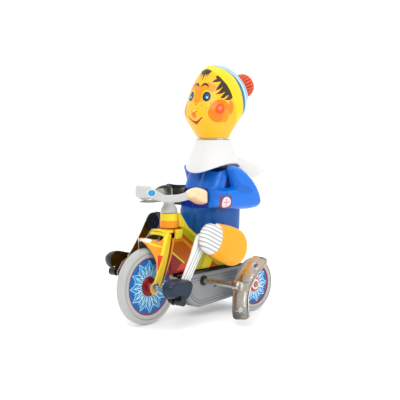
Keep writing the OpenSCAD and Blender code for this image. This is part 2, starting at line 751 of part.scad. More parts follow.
frame_half(1);  // frame_left
frame_half(-1);  // frame_right
head_tube();
base_plate();
motor_cover();
key_bush();
motor_plate(1);  // motor_plate_left
motor_plate(-1);  // motor_plate_right
motor_pillars();
mainspring();
winding_shaft();
great_wheel();
ratchet_wheel();
click_spring();
key_handle();
layshaft();
layshaft_pinion();
layshaft_wheel();
axle_gear();
rear_axle();
rear_disc(1);  // rear_disc_left
rear_disc(-1);  // rear_disc_right
rear_tyre(1);  // rear_tyre_left
rear_tyre(-1);  // rear_tyre_right
rear_hub(1);  // rear_hub_left
rear_hub(-1);  // rear_hub_right
fork();
mudguard();
steering_stem();
stem_cone();
handlebar();
front_axle();
front_disc(1);  // front_disc_left
front_disc(-1);  // front_disc_right
front_tyre();
crank(1);  // crank_left
crank(-1);  // crank_right
pedal(1);  // pedal_left
pedal(-1);  // pedal_right
lower_leg(1);  // lower_leg_left
lower_leg(-1);  // lower_leg_right
thigh(1);  // thigh_left
thigh(-1);  // thigh_right
hip_pin(1);  // hip_pin_left
hip_pin(-1);  // hip_pin_right
torso(1);  // torso_left
torso(-1);  // torso_right
arm(1);  // arm_left
arm(-1);  // arm_right
hand(1);  // hand_left
hand(-1);  // hand_right
neck_tube();
head(1);  // head_left
head(-1);  // head_right
pompom();
collar();
scarf_tail();
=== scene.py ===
from math import acos, ceil, copysign, cos, degrees, exp, pi, radians, sin, sqrt

import bpy
import numpy as np
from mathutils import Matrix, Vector
from mathutils.geometry import delaunay_2d_cdt


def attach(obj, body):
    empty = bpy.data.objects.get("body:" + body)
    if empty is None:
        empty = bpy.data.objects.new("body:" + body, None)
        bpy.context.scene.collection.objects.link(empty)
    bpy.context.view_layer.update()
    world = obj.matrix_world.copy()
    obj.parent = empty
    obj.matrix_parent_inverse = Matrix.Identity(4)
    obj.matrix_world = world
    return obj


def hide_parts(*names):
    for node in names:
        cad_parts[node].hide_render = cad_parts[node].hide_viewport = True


# A wind-up tin boy on a tricycle. The working frame is the CAD's: +Z up, the rider faces -Y,
# and its left side is +X. Lengths below are in millimetres and are scaled to metres in one place.
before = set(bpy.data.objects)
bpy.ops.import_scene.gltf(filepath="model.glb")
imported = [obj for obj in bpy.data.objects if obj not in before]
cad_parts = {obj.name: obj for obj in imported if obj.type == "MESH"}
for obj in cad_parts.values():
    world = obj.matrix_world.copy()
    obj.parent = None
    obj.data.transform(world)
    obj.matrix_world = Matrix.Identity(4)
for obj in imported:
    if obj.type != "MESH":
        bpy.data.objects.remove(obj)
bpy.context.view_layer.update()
MM = 0.001
WHEELBASE_HALF = 40.0
FRONT_R, REAR_R, AXLE_R = 25.0, 18.5, 1.6
FRONT, REAR = (-WHEELBASE_HALF, FRONT_R), (WHEELBASE_HALF, REAR_R)  # axles, as (y, z)
STEM_Y = -19
TIN = 0.0006  # sheet thickness, in metres like every modifier's value
SIDES = ((1, "left"), (-1, "right"))


# ---- Colours and materials --------------------------------------------------------------------
# Every printed colour of the lithographed sheet is named here, as it looks in daylight, together with some
# tones of painted light and painted shade.
# The print material reads the colour from each piece's own "print" attribute.
def lin(r, g, b):
    """sRGB values from 0 to 255 as linear colour."""
    return [((c / 255 + 0.055) / 1.055) ** 2.4 if c > 10 else c / 255 / 12.92 for c in (r, g, b)]


INK = {"skin": lin(250, 186, 36), "skin_shade": lin(250, 146, 0), "cheek": lin(250, 126, 0),
    # The cheek's light spot colour is a painted highlight.
    "cheek_red": lin(240, 84, 34), "cheek_painted_highlight": lin(250, 128, 66), "hair": lin(62, 52, 38),
    "hat": lin(244, 208, 18), "teal": lin(20, 108, 130), "sky": lin(128, 198, 240),
    "band": lin(112, 150, 220), "white": lin(236, 236, 233), "navy": lin(24, 40, 62), "eye": lin(28, 52, 74),
    "brown": lin(120, 60, 12), "mouth": lin(176, 34, 12), "ear": lin(232, 140, 20), "jersey": lin(0, 98, 200),
    # The jersey's light, dark, low and deep blues are painted light, painted shade and painted shadow on one
    # blue.
    "jersey_painted_light": lin(0, 112, 220), "jersey_painted_shade": lin(0, 34, 140), "jersey_lower_painted_shade": lin(0, 84, 164),
    "jersey_painted_shadow": lin(0, 24, 96), "badge": lin(112, 62, 84), "badge_disc": lin(240, 216, 222),
    "badge_mark": lin(206, 150, 168), "yellow": lin(246, 220, 44), "orange": lin(246, 152, 26),
    "tan": lin(236, 150, 50), "rust": lin(200, 98, 14), "red": lin(226, 58, 22), "dark_red": lin(150, 8, 8),
    # The groove colour is painted shade beside stamped ribs.
    "lime": lin(190, 186, 20), "rib": lin(240, 200, 24), "groove_shade": lin(122, 52, 8), "thigh": lin(255, 170, 0),
    "grey": lin(196, 197, 194), "dark_grey": lin(60, 62, 62), "stripe": lin(172, 174, 176),
    "tyre": lin(180, 181, 178), "tread_line": lin(104, 106, 106), "shoe": lin(24, 42, 60),
    "olive": lin(92, 66, 14), "hand": lin(246, 212, 172), "hand_shade": lin(238, 192, 146),
    "disc_blue": lin(0, 146, 208), "disc_deep": lin(0, 96, 166), "needle": lin(216, 238, 246),
    # The dark pompom red is painted shade in the creases between its ribs.
    "ring": lin(150, 28, 42), "hub": lin(134, 12, 24), "pom": lin(226, 84, 30), "pom_painted_shade": lin(164, 30, 14),
    "bar": lin(192, 193, 191), "bar_dark": lin(128, 130, 128), "cover": lin(150, 153, 155),
    "mark": lin(40, 150, 205)}


def principled(name, color, rough, metal=0.0, coat=0.0):
    mat = bpy.data.materials.new(name)
    mat.use_nodes = True
    sh = mat.node_tree.nodes["Principled BSDF"]
    sh.inputs["Base Color"].default_value = (*color, 1)
    sh.inputs["Roughness"].default_value = rough
    sh.inputs["Metallic"].default_value = metal
    sh.inputs["Coat Weight"].default_value = coat
    sh.inputs["Coat Roughness"].default_value = 0.12
    sh.inputs["Specular IOR Level"].default_value = 0.25
    return mat


def handling_group():
    """Shader group: the faint uneven tone of handled sheet metal, as a factor near 1."""
    g = bpy.data.node_groups.new("handled_sheet", "ShaderNodeTree")
    g.interface.new_socket("Scale", in_out="INPUT", socket_type="NodeSocketFloat").default_value = 180.0
    g.interface.new_socket("Amount", in_out="INPUT", socket_type="NodeSocketFloat").default_value = 0.08
    g.interface.new_socket("Tone", in_out="OUTPUT", socket_type="NodeSocketFloat")
    n, links = g.nodes, g.links
    inp, out = n.new("NodeGroupInput"), n.new("NodeGroupOutput")
    co, noise = n.new("ShaderNodeTexCoord"), n.new("ShaderNodeTexNoise")
    noise.inputs["Detail"].default_value = 4
    scale, add = n.new("ShaderNodeMath"), n.new("ShaderNodeMath")
    scale.operation, add.operation = "MULTIPLY", "ADD"
    low = n.new("ShaderNodeMath")
    low.operation = "SUBTRACT"
    low.inputs[1].default_value = 0.5
    add.inputs[1].default_value = 1.0
    links.new(co.outputs["Object"], noise.inputs["Vector"])
    links.new(inp.outputs["Scale"], noise.inputs["Scale"])
    links.new(noise.outputs["Fac"], low.inputs[0])
    links.new(low.outputs[0], scale.inputs[0])
    links.new(inp.outputs["Amount"], scale.inputs[1])
    links.new(scale.outputs[0], add.inputs[0])
    links.new(add.outputs[0], out.inputs["Tone"])
    return g


HANDLED = handling_group()


def toned(mat, source, rough, rough_spread, tone=0.08, scale=180.0):
    """Multiply a colour by the handled tone, and let the same tone move the roughness."""
    nt = mat.node_tree
    sh = nt.nodes["Principled BSDF"]
    grp = nt.nodes.new("ShaderNodeGroup")
    grp.node_tree = HANDLED
    grp.inputs["Scale"].default_value = scale
    grp.inputs["Amount"].default_value = tone
    mix = nt.nodes.new("ShaderNodeVectorMath")
    mix.operation = "SCALE"
    if source is None:
        mix.inputs[0].default_value = tuple(sh.inputs["Base Color"].default_value)[:3]
    else:
        nt.links.new(source, mix.inputs[0])
    nt.links.new(grp.outputs["Tone"], mix.inputs["Scale"])
    nt.links.new(mix.outputs[0], sh.inputs["Base Color"])
    rng = nt.nodes.new("ShaderNodeMapRange")
    rng.inputs["From Min"].default_value = 1 - tone / 2
    rng.inputs["From Max"].default_value = 1 + tone / 2
    rng.inputs["To Min"].default_value = rough - rough_spread
    rng.inputs["To Max"].default_value = rough + rough_spread
    nt.links.new(grp.outputs["Tone"], rng.inputs["Value"])
    nt.links.new(rng.outputs["Result"], sh.inputs["Roughness"])
    return mat


def print_material(name, rough, coat):
    mat = principled(name, (0.8, 0.8, 0.8), rough, 0.0, coat)
    attr = mat.node_tree.nodes.new("ShaderNodeAttribute")
    attr.attribute_name = "print"
    return toned(mat, attr.outputs["Color"], rough, 0.05, 0.05)


def finish(name, color, rough, metal, coat, spread, tone, scale):
    """A plain painted or bare metal finish."""
    return toned(principled(name, color, rough, metal, coat), None, rough, spread, tone, scale)


LITHO = print_material("litho_print", 0.3, 0.16)
LITHO_SATIN = print_material("litho_satin", 0.42, 0.15)
BARE = finish("bare_tin", lin(176, 172, 162), 0.38, 0.9, 0.0, 0.08, 0.2, 140)
OLIVE = finish("olive_lacquer", INK["olive"], 0.4, 0.2, 0.3, 0.08, 0.3, 90)
STEEL = finish("bright_steel", lin(200, 198, 192), 0.26, 1.0, 0.0, 0.07, 0.15, 160)
BLACK = finish("black_lacquer", lin(22, 22, 24), 0.34, 0.0, 0.3, 0.06, 0.2, 120)


# ---- Mesh helpers -----------------------------------------------------------------------------
# printed_sheet() makes every pressed and printed piece: it triangulates a flat outline together
# with the edges of its printed areas, then bends the result into shape with a place() function.
def arc(cy, cz, r, a0, a1, n):
    return [(cy + r * cos(radians(a0 + (a1 - a0) * i / n)), cz + r * sin(radians(a0 + (a1 - a0) * i / n)))
        for i in range(n + 1)]


def disc(cy, cz, r, n=40, squash=1.0, turn=0.0):
    t = radians(turn)
    pts = [(r * cos(2 * pi * i / n), r * squash * sin(2 * pi * i / n)) for i in range(n)]
    return [(cy + a * cos(t) - b * sin(t), cz + a * sin(t) + b * cos(t)) for a, b in pts]


def smooth_loop(pts, n=8, closed=True):
    """Catmull-Rom curve through the points."""
    out, m = [], len(pts)
    for i in range(m if closed else m - 1):
        p0, p1, p2, p3 = (np.array(pts[(i + k - 1) % m] if closed else pts[min(max(i + k - 1, 0), m - 1)])
            for k in range(4))
        for j in range(n):
            t = j / n
            out.append(tuple(0.5 * ((2 * p1) + (p2 - p0) * t + (2 * p0 - 5 * p1 + 4 * p2 - p3) * t * t
                + (3 * p1 - p0 - 3 * p2 + p3) * t**3)))
    if not closed:
        out.append(tuple(pts[-1]))
    return out


def densify(loop, step):
    out, m = [], len(loop)
    for i in range(m):
        a, b = np.array(loop[i]), np.array(loop[(i + 1) % m])
        k = max(1, int(ceil(np.linalg.norm(b - a) / step)))
        out += [tuple(a + (b - a) * j / k) for j in range(k)]
    return out


def inside(points, loop):
    p, q = np.asarray(points, float), np.asarray(loop, float)
    r, hit = np.roll(q, -1, 0), np.zeros(len(p), bool)
    for (x0, y0), (x1, y1) in zip(q, r):
        crosses = (y0 > p[:, 1]) != (y1 > p[:, 1])
        if y1 != y0:
            hit ^= crosses & (p[:, 0] < (x1 - x0) * (p[:, 1] - y0) / (y1 - y0) + x0)
    return hit


def edge_distance(points, loop):
    p, q = np.asarray(points, float), np.asarray(loop, float)
    best = np.full(len(p), 1e9)
    for a, b in zip(q, np.roll(q, -1, 0)):
        d = b - a
        t = np.clip(((p - a) @ d) / max(d @ d, 1e-12), 0, 1)
        best = np.minimum(best, np.linalg.norm(p - (a + t[:, None] * d), axis=1))
    return best


def in_scene(name, data):
    obj = bpy.data.objects.new(name, data)
    bpy.context.scene.collection.objects.link(obj)
    return obj


def make_piece(name, verts, faces, mats, body, stands_for=(), colors=None, thickness=0.0,
    angle=38):
    """A mesh piece in metres from millimetre vertices, riding on a body."""
    me = bpy.data.meshes.new(name)
    me.from_pydata([tuple(float(c) * MM for c in v) for v in verts], [], faces)
    me.validate()
    obj = in_scene(name, me)
    for mat in mats:
        me.materials.append(mat)
    if colors is not None:
        att = me.color_attributes.new("print", "FLOAT_COLOR", "CORNER")
        data = np.ones((len(me.loops), 4), np.float32)
        starts = np.array([p.loop_start for p in me.polygons])
        totals = np.array([p.loop_total for p in me.polygons])
        data[:, :3] = np.repeat(np.asarray(colors, np.float32), totals, 0)[: len(me.loops)]
        att.data.foreach_set("color", data.ravel())
    me.shade_smooth()
    me.set_sharp_from_angle(angle=radians(angle))
    if thickness:
        mod = obj.modifiers.new("sheet", "SOLIDIFY")
        mod.thickness, mod.offset = thickness, -1
        mod.material_offset, mod.material_offset_rim = (1, 1) if len(mats) > 1 else (0, 0)
    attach(obj, body)
    if stands_for:
        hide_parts(*stands_for)
    return obj


def printed_sheet(name, outline, prints, base, place, body, stands_for=(), holes=(), grid=1.0,
    step=0.7, rolls=(), mats=None, thickness=TIN, flip=False, angle=38, shade=None):
    """prints is a list of (ink name, loop) in the outline's own plane; a later one covers an earlier one.
    place(points, distance from the edge) gives the 3-D points, and shade(face centres, colours) may
    change the print. rolls are the distances from the edge at which the sheet bends."""
    outline = densify(outline, step)
    loops = [outline] + [densify(h, step) for h in holes] + [densify(p, step) for _, p in prints]
    pts, edges = [], []
    for loop in loops:
        first = len(pts)
        pts += loop
        edges += [(first + i, first + (i + 1) % len(loop)) for i in range(len(loop))]
    lo, hi = np.min(outline, 0), np.max(outline, 0)
    gy, gz = np.meshgrid(np.arange(lo[0], hi[0], grid), np.arange(lo[1], hi[1], grid * 0.87))
    gy[1::2] += grid / 2
    cand = np.column_stack([gy.ravel(), gz.ravel()])
    cand = cand[inside(cand, outline)]
    keep = edge_distance(cand, outline) > max([0.35 * grid, *[r + 0.3 for r in rolls]])
    cand = cand[keep]
    o = np.asarray(outline)
    tang = np.roll(o, -1, 0) - np.roll(o, 1, 0)
    norm = np.column_stack([-tang[:, 1], tang[:, 0]]) / np.maximum(np.linalg.norm(tang, axis=1), 1e-9)[:,
        None]
    if not inside(o[:1] + norm[:1] * 0.05, outline)[0]:
        norm = -norm
    extra = []
    for r in rolls:
        ring = o + norm * r
        good = inside(ring, outline) & (edge_distance(ring, outline) > 0.93 * r)
        extra.append(ring[good])
    allpts = [Vector(p) for p in pts] + [Vector(p) for p in cand] + [Vector(p) for ring in extra
        for p in ring]
    v2, _, tri, *_ = delaunay_2d_cdt(allpts, edges, [], 0, 1e-4)
    v2 = np.array([tuple(v) for v in v2])
    tri = np.array([list(f) for f in tri if len(f) == 3])
    mid = v2[tri].mean(1)
    ok = inside(mid, outline)
    for h in holes:
        ok &= ~inside(mid, h)
    tri, mid = tri[ok], mid[ok]
    col = np.tile(np.array(INK[base]), (len(tri), 1))
    for ink, loop in prints:
        col[inside(mid, loop)] = INK[ink]
    if shade is not None:
        col = shade(mid, col)
    used = np.unique(tri)
    remap = np.full(len(v2), -1)
    remap[used] = np.arange(len(used))
    v2, tri = v2[used], remap[tri]
    P = np.asarray(place(v2, edge_distance(v2, outline)))
    a, b, c = P[tri[:, 0]], P[tri[:, 1]], P[tri[:, 2]]
    if flip:
        tri = tri[:, ::-1]
    return make_piece(name, P, tri.tolist(), mats or [LITHO, BARE], body, stands_for, col,
        thickness, angle)


def rolled(d, width):
    """Quarter-round rise, from 0 at the edge to 1 at this distance from it."""
    return np.sqrt(1 - (1 - np.clip(d / width, 0, 1)) ** 2)


def pressed(x_rim, depth, roll, side):
    """place() for a half-shell stamping seen from the side: it rises from the rim and rounds over."""
    def place(p, d):
        return np.column_stack([side * (x_rim + depth * rolled(d, roll)), p[:, 0], p[:, 1]])
    return place


def grid_faces(rows, n, closed=True):
    """Quads between rows + 1 rings of n points. Each starts low on the first ring and runs along it."""
    return [(i * n + j, i * n + (j + 1) % n, (i + 1) * n + (j + 1) % n, (i + 1) * n + j) for i in range(rows)
        for j in range(n if closed else n - 1)]


def lathe(name, profile, centre, side, mats, body, stands_for=(), n=144, ink=None, angle=30):
    """Turn (x, radius) points round the X axis through centre = (y, z), mirrored for the right side.
    ink(radius, angle, x) gives a colour for each face."""
    prof = np.asarray(profile, float)
    t = np.arange(n) * 2 * pi / n
    verts = [(side * x, centre[0] + r * cos(a), centre[1] + r * sin(a)) for x, r in prof for a in t]
    faces = [f if side < 0 else f[::-1] for f in grid_faces(len(prof) - 1, n)]
    cols = [ink(r, a + pi / n, x) for x, r in (prof[:-1] + prof[1:]) / 2 for a in t] if ink else None
    return make_piece(name, verts, faces, mats, body, stands_for, cols, 0.0, angle)


# ---- Wheels -----------------------------------------------------------------------------------
# Pale rolled-tin tyres with a fine bead line, and blue discs printed with bursts of white needles
# round a red hub, inside a dark red ring. The front wheel turns the cranks.
FRONT_RIM, REAR_RIM = 18.8, 14.0


def burst_ink(rim, hub, bursts, dots):
    """Disc print: each burst is a white V with its point at the rim and thinner needles inside it."""
    tip = rim - 1.6

    def ink(r, a, x):
        if r > rim - 0.9:
            return INK["ring"]
        if r < hub:
            return INK["hub"]
        turn = a / (2 * pi) * bursts
        off = abs(turn - round(turn)) * 2 * pi / bursts * r
        u = (r - hub) / (tip - hub)
        if u < 0.12:
            tooth = a / (2 * pi) * dots
            return INK["needle"] if abs(tooth - round(tooth)) * 2 < 0.45 else INK["disc_blue"]
        side = (1 - u) * rim * 0.36
        if u < 1 and abs(off - side) < 0.15 + 0.2 * (1 - u):
            return INK["needle"]
        if 0.12 < u < 0.62 and abs(off - (0.66 - u) * rim * 0.2) < 0.12 + 0.2 * (0.62 - u):
            return INK["needle"]
        if u < 0.8 and off < 0.34 * (1 - u / 0.8) + 0.08:
            return INK["needle"]
        half = abs(abs(turn - round(turn)) - 0.5) * 2 * pi / bursts * r
        if u < 0.78 and half < 0.5 * (1 - u / 0.78) + 0.06:
            return INK["needle"]
        return INK["disc_blue"] if off < side or u < 0.3 else INK["disc_deep"]
    return ink


def ring_profile(x_of_r, r0, r1, n):
    return [(x_of_r(r0 + (r1 - r0) * i / n), r0 + (r1 - r0) * i / n) for i in range(n + 1)]


def tyre_ink(line):
    def ink(r, a, x):
        return INK["tread_line"] if abs(r - line) < 0.16 else INK["tyre"]
    return ink


def tyre_profile(r0, r1, half, mid):
    """Rolled tin tyre: bead at the rim, a shallow step at the printed line, rounded shoulders and tread."""
    f = 2.2
    pts = [(mid + half - 1.3, r0 - 0.1), (mid + half - 0.5, r0), (mid + half - 0.28, r0 + 0.35),
        (mid + half - 0.35, r0 + 1.2)]
    line = r0 + (r1 - r0) * 0.45
    pts += [(mid + half - 0.22, line - 0.5), (mid + half - 0.2, line - 0.16), (mid + half - 0.32, line),
        (mid + half - 0.12, line + 0.16)]
    pts += [(mid + half - f + f * cos(radians(a)), r1 - f + f * sin(radians(a))) for a in range(0, 91, 9)]
    mirror = [(2 * mid - x, r) for x, r in pts[::-1]]
    return pts + mirror, line


def wheel_disc(name, rim, hub, out, inner_x, centre, side, body, node, bursts):
    face = ring_profile(lambda r: out - 1.4 * (1 - r / rim) ** 2
        - 0.5 * exp(-(((r - rim * 0.93) / 0.7) ** 2)), AXLE_R, rim, 64)
    prof = [(inner_x, rim - 0.8), (inner_x, rim)] + face[::-1]
    print_ink = burst_ink(rim, hub, bursts, bursts * 3)
    return lathe(name, prof, centre, side, [LITHO], body, [node], 720, print_ink)


prof, line = tyre_profile(FRONT_RIM, FRONT_R, 3.3, 0)
lathe("front_tyre_tin", prof, FRONT, 1, [LITHO_SATIN], "front_wheel", ["front_tyre"], 180,
    tyre_ink(line))
for side, word in SIDES:
    wheel_disc(f"front_disc_print_{word}", FRONT_RIM, 6.5, 2.7, 0.0, FRONT, side, "front_wheel",
        f"front_disc_{word}", 12)
    prof, line = tyre_profile(REAR_RIM, REAR_R, 2.6, 23.1)
    lathe(f"rear_tyre_tin_{word}", prof, REAR, side, [LITHO_SATIN], "rear_wheels",
        [f"rear_tyre_{word}"], 160, tyre_ink(line))
    wheel_disc(f"rear_disc_print_{word}", REAR_RIM, 4.9, 24.9, 21.0, REAR, side, "rear_wheels",
        f"rear_disc_{word}", 9)
    hub = [(24.2, 4.8), (24.9, 4.75), (25.3, 4.3), (25.4, 3.5), (25.45, 2.6), (25.6, 2.2), (25.9, 1.9),
        (26.0, 1.62)]
    lathe(f"rear_hub_cap_{word}", hub, REAR, side, [LITHO], "rear_wheels", [f"rear_hub_{word}"],
        64, lambda r, a, x: INK["red"] if r > 3.4 else INK["white"] if r > 2.3 else INK["dark_red"])
    boss = [(2.6, 6.4), (3.0, 6.2), (3.3, 5.4), (3.5, 4.2), (3.7, 3.2), (4.2, 2.6), (4.3, 1.62)]
    lathe(f"front_hub_cap_{word}", boss, FRONT, side, [LITHO], "front_wheel", (), 64,
        lambda r, a, x: INK["hub"])


# ---- Fork and mudguard ------------------------------------------------------------------------
# Two printed blades under a crown: a raised yellow rib down to the axle, orange in front with a
# red triangle, a dark strip of painted shade behind the rib, and a beak-shaped mudguard over the wheel.
BLADE_X = 7.3  # from the middle plane to a blade's inner face
blade = [(-50.6, 56.0), (-46.6, 53.0), (-43.3, 49.6), (-40.4, 45.5), (-38.6, 41.0), (-38.1, 36.5),
    (-38.9, 32.5), (-40.6, 29.0), (-43.0, 26.8)]
blade += arc(-40, 24.4, 4.2, 150, 335, 10)
blade += [(-33.2, 26.5), (-29.6, 32.0), (-26.6, 38.0), (-24.2, 44.0), (-22.6, 50.0), (-21.3, 56.0),
    (-20.6, 60.0), (-27.0, 60.2), (-30.4, 57.6), (-33.6, 54.9), (-37.5, 54.4), (-42.0, 55.9), (-46.0, 57.0)]
rib = [(-27.4, 60.4), (-31.4, 56.4), (-32.8, 52.2), (-34.6, 46.0), (-37.2, 39.0), (-40.0, 32.0),
    (-43.4, 25.6), (-42.6, 20.6), (-37.2, 20.2), (-35.6, 24.6), (-33.0, 31.0), (-29.6, 39.5), (-27.2, 47.0),
    (-26.0, 52.5), (-24.2, 60.4)]
blade_prints = [("tan", [(-60, 70), (-10, 70), (-10, 10), (-60, 10)]),
    ("orange", [(-52, 58), (-30, 58), (-31, 47), (-38, 32), (-44, 20), (-60, 20)]),
    ("yellow", [(-47, 55.2), (-33, 50.8), (-32.4, 49.6), (-43, 52.6)]),
    # The dark strip behind the rib is painted shade.
    ("groove_shade", [(-27.2, 60.4), (-26.0, 52.0), (-27.6, 45.5), (-31.6, 35.5), (-36.4, 24), (-35.0, 23),
    (-30.0, 34), (-26.2, 44), (-24.4, 52), (-23.6, 60.4)]), ("rib", rib),
    ("yellow", [(-28.4, 60.4), (-32, 56), (-33.2, 51.0), (-36.6, 42), (-42.0, 29), (-40.4, 28.2),
    (-34.6, 41.6), (-31.2, 50.8), (-29.2, 55.6), (-26, 60.4)]),
    ("red", [(-37.6, 45.6), (-33.4, 44.8), (-38.0, 35.0)]),
    # The white patch at the blade's tip is a painted highlight.
    ("white", smooth_loop([(-50.8, 56.6), (-47, 54.4), (-42.6, 54.6), (-43.0, 56.6)], 4))]


def blade_place(side):
    def place(p, d):
        ridge = np.exp(-((edge_distance(p, rib_line) / 1.9) ** 4)) * 0.55
        x = 7.35 + 0.55 * rolled(d, 1.1) + ridge
        bend = np.clip((-38.0 - p[:, 0]) / 12.6, 0, 1) * np.clip((p[:, 1] - 36) / 14, 0, 1)
        return np.column_stack([side * x * (1 - 0.93 * bend**1.25), p[:, 0] + 4.4 * bend**1.5, p[:, 1]])
    return place


rib_line = [(-28.6, 56), (-30.2, 50), (-33.2, 42.5), (-36.4, 34.8), (-40, 25), (-36.4, 34.8), (-33.2, 42.5),
    (-30.2, 50)]
for side, word in SIDES:
    printed_sheet(f"fork_blade_{word}", blade, blade_prints, "tan", blade_place(side), "steering",
        ["fork"], holes=[disc(FRONT[0], FRONT[1], 1.7, 24)], rolls=(0.12, 0.35, 0.7, 1.1),
        flip=side < 0, grid=0.9, step=0.6)


def crown_and_guard():
    """The crown's top plate with its rounded front, and the mudguard strip between the blades' tips."""
    crown = [(-7.9, -20), (-7.9, -26.4), (-6.4, -29.4), (-3, -30.4), (3, -30.4), (6.4, -29.4), (7.9, -26.4),
        (7.9, -20), (7.2, -15), (4, -13.6), (-4, -13.6), (-7.2, -15)]

    def top(p, d):
        sag = 2.6 * (np.abs(p[:, 0]) / 7.9) ** 4
        return np.column_stack([p[:, 0], p[:, 1], 59.9 + rolled(d, 1.2) - sag])
    printed_sheet("fork_crown", crown, [("orange", [(-4.6, -26), (4.6, -26), (6.4, -20), (9, -12), (-9, -12),
        (-6.4, -20)])], "yellow", top, "steering", holes=[disc(0, STEM_Y, 2.4, 32)],
        rolls=(0.1, 0.4, 0.8, 1.2), grid=1.2)
    visor = [(-7.6, -29.4), (7.6, -29.4), (7.6, -20), (-7.6, -20)]

    def brow(p, d):
        """The rolled lip that drops from the crown towards the guard."""
        t = np.clip((-20 - p[:, 1]) / 9.4, 0, 1)
        return np.column_stack([p[:, 0], -29.6 - 1.2 * np.sin(t * pi / 2) * (1 - (p[:, 0] / 9) ** 2),
            59.8 - 2.4 * t - 1.6 * (np.abs(p[:, 0]) / 7.6) ** 3])
    printed_sheet("fork_crown_lip", visor, [], "yellow", brow, "steering", grid=1.2)

    guard = [(0, -46.4), (2.6, -44.6), (5.0, -42.4), (6.8, -40.0), (7.5, -37.6), (7.5, -36.4), (6, -35.0),
        (-6, -35.0), (-7.5, -36.4), (-7.5, -37.6), (-6.8, -40.0), (-5.0, -42.4), (-2.6, -44.6)]

    def over(p, d):
        a = (p[:, 1] - FRONT[0]) / 30.9
        r = 30.6 + 1.3 * (1 - (p[:, 0] / 7.5) ** 2) * np.clip((-44 - p[:, 1]) / 8, 0, 1)
        return np.column_stack([p[:, 0], FRONT[0] + r * np.sin(a), FRONT[1] + r * np.cos(a)])
    # The white at the mudguard's tip is a painted highlight.
    printed_sheet("mudguard_print", guard, [("white", [(-5, -47), (5, -47), (2.4, -43.0), (-2.4, -43.0)]),
        ("yellow", [(-1, -42.6), (1, -42.6), (1, -35), (-1, -35)])], "orange", over, "steering",
        ["mudguard"], grid=1.2)
    cheek = [(-30.2, 55.4), (-26.5, 54.2), (-14.6, 54.2), (-13.7, 57.5), (-13.8, 60.4), (-27.6, 60.6),
        (-30.4, 58.4)]
    for s, word in SIDES:
        # The dark strip on each cheek, beside the orange line, is painted shade.
        printed_sheet(f"crown_cheek_{word}", cheek, [("groove_shade",
            [(-23.4, 50), (-22.4, 50), (-22.0, 62), (-23.0, 62)]),
            ("orange", [(-22.4, 50), (-21.2, 50), (-20.8, 62), (-22.0, 62)])], "yellow",
            pressed(BLADE_X, 0.6, 1.0, s), "steering", rolls=(0.15, 0.5, 1.0), flip=s < 0,
            grid=1.2)


crown_and_guard()
for side, word in SIDES:
    spacer = [(4.3, 1.7), (4.3, 3.0), (BLADE_X, 3.0), (BLADE_X, 1.7)]
    lathe(f"fork_spacer_{word}", spacer, FRONT, side, [STEEL], "steering", (), 48)
    nut = [(8.0, 1.65), (8.0, 3.1), (8.5, 3.3), (9.3, 3.2), (9.6, 2.6), (9.6, 1.65)]
    lathe(f"axle_collar_{word}", nut, FRONT, side, [STEEL], "front_wheel", (), 40)


# ---- Frame ------------------------------------------------------------------------------------
# The printed wedge between the head tube and the seat: a lime top stripe, a rust band, a thin
# yellow line and a dark red panel, with diagonal bands towards the rear.
wedge = [(-25, 30.9), (-25, 46), (-22.6, 52.5), (-20.4, 55.6), (-12.6, 55.6), (-12.6, 63.9), (-11.6, 64.4),
    (35.6, 31.4), (35.2, 30.9)]
wedge_prints = [("rust", [(-14, 66), (-30, 52), (-30, 46), (-2, 28), (40, 28), (40, 30)]),
    ("orange", [(-26, 54), (-12, 54), (22, 30), (14, 30)]),
    ("rust", [(-26, 52), (-13, 52.2), (12, 34), (10, 30), (0, 30)]),
    ("yellow", [(-26, 46.3), (-22.5, 46.3), (-0.6, 30.2), (-2.2, 30.2), (-23, 45.2), (-26, 45.2)]),
    ("dark_red", [(-26, 45.2), (-23, 45.2), (-2.2, 30.2), (-26, 30.2)]),
    ("red", [(-14.6, 37), (-8.6, 37.6), (-10.6, 33.4), (-19, 33.0)]),
    ("lime", [(-13, 66), (-13, 57.6), (22.5, 31.8), (38, 29.2), (36, 34)]),
    ("yellow", [(-13, 66), (-13, 62.5), (1, 52.6), (1, 57)]),
    ("lime", [(4.6, 44.6), (11, 40), (5.6, 30.2), (-1.6, 30.2)]),
    ("yellow", [(10.6, 40.4), (16.6, 36), (13.6, 30.2), (5.0, 30.2)]),
    ("rust", [(16.6, 36), (25, 30.2), (13.6, 30.2)])]


def frame_side(side):
    def place(p, d):
        return np.column_stack([side * (5.5 + 0.8 * rolled(d, 1.0)), p[:, 0], p[:, 1]])
    return place


for side, word in SIDES:
    printed_sheet(f"frame_print_{word}", wedge, wedge_prints, "lime", frame_side(side), "chassis",
        [f"frame_{word}"], rolls=(0.12, 0.45, 1.0), flip=side < 0, grid=1.2)


def frame_top():
    """The folded strip along the top of the wedge, with the seam where its halves meet."""
    strip = [(-5.6, 0), (5.6, 0), (5.6, 58), (-5.6, 58)]
    slope = Vector((35.6 + 11.9, 31.4 - 64.4)).normalized()

    def place(p, d):
        dip = 0.25 * np.exp(-((p[:, 0] / 0.35) ** 2))
        return np.column_stack([p[:, 0], -12.0 + slope[0] * p[:, 1], 64.35 + slope[1] * p[:, 1] - dip])
    printed_sheet("frame_top_print", strip, [("lime", [(-9, 12), (9, 12), (9, 60), (-9, 60)]),
        ("lime", [(-9, -1), (-3.4, -1), (-3.4, 60), (-9, 60)])], "yellow", place, "chassis",
        grid=1.2)
    nose = [(-5.6, 55.6), (5.6, 55.6), (5.6, 64.2), (-5.6, 64.2)]
    printed_sheet("frame_nose_print", nose, [], "yellow",
        lambda p, d: np.column_stack([p[:, 0], np.full(len(p), -12.3), p[:, 1]]), "chassis",
        grid=2)


frame_top()


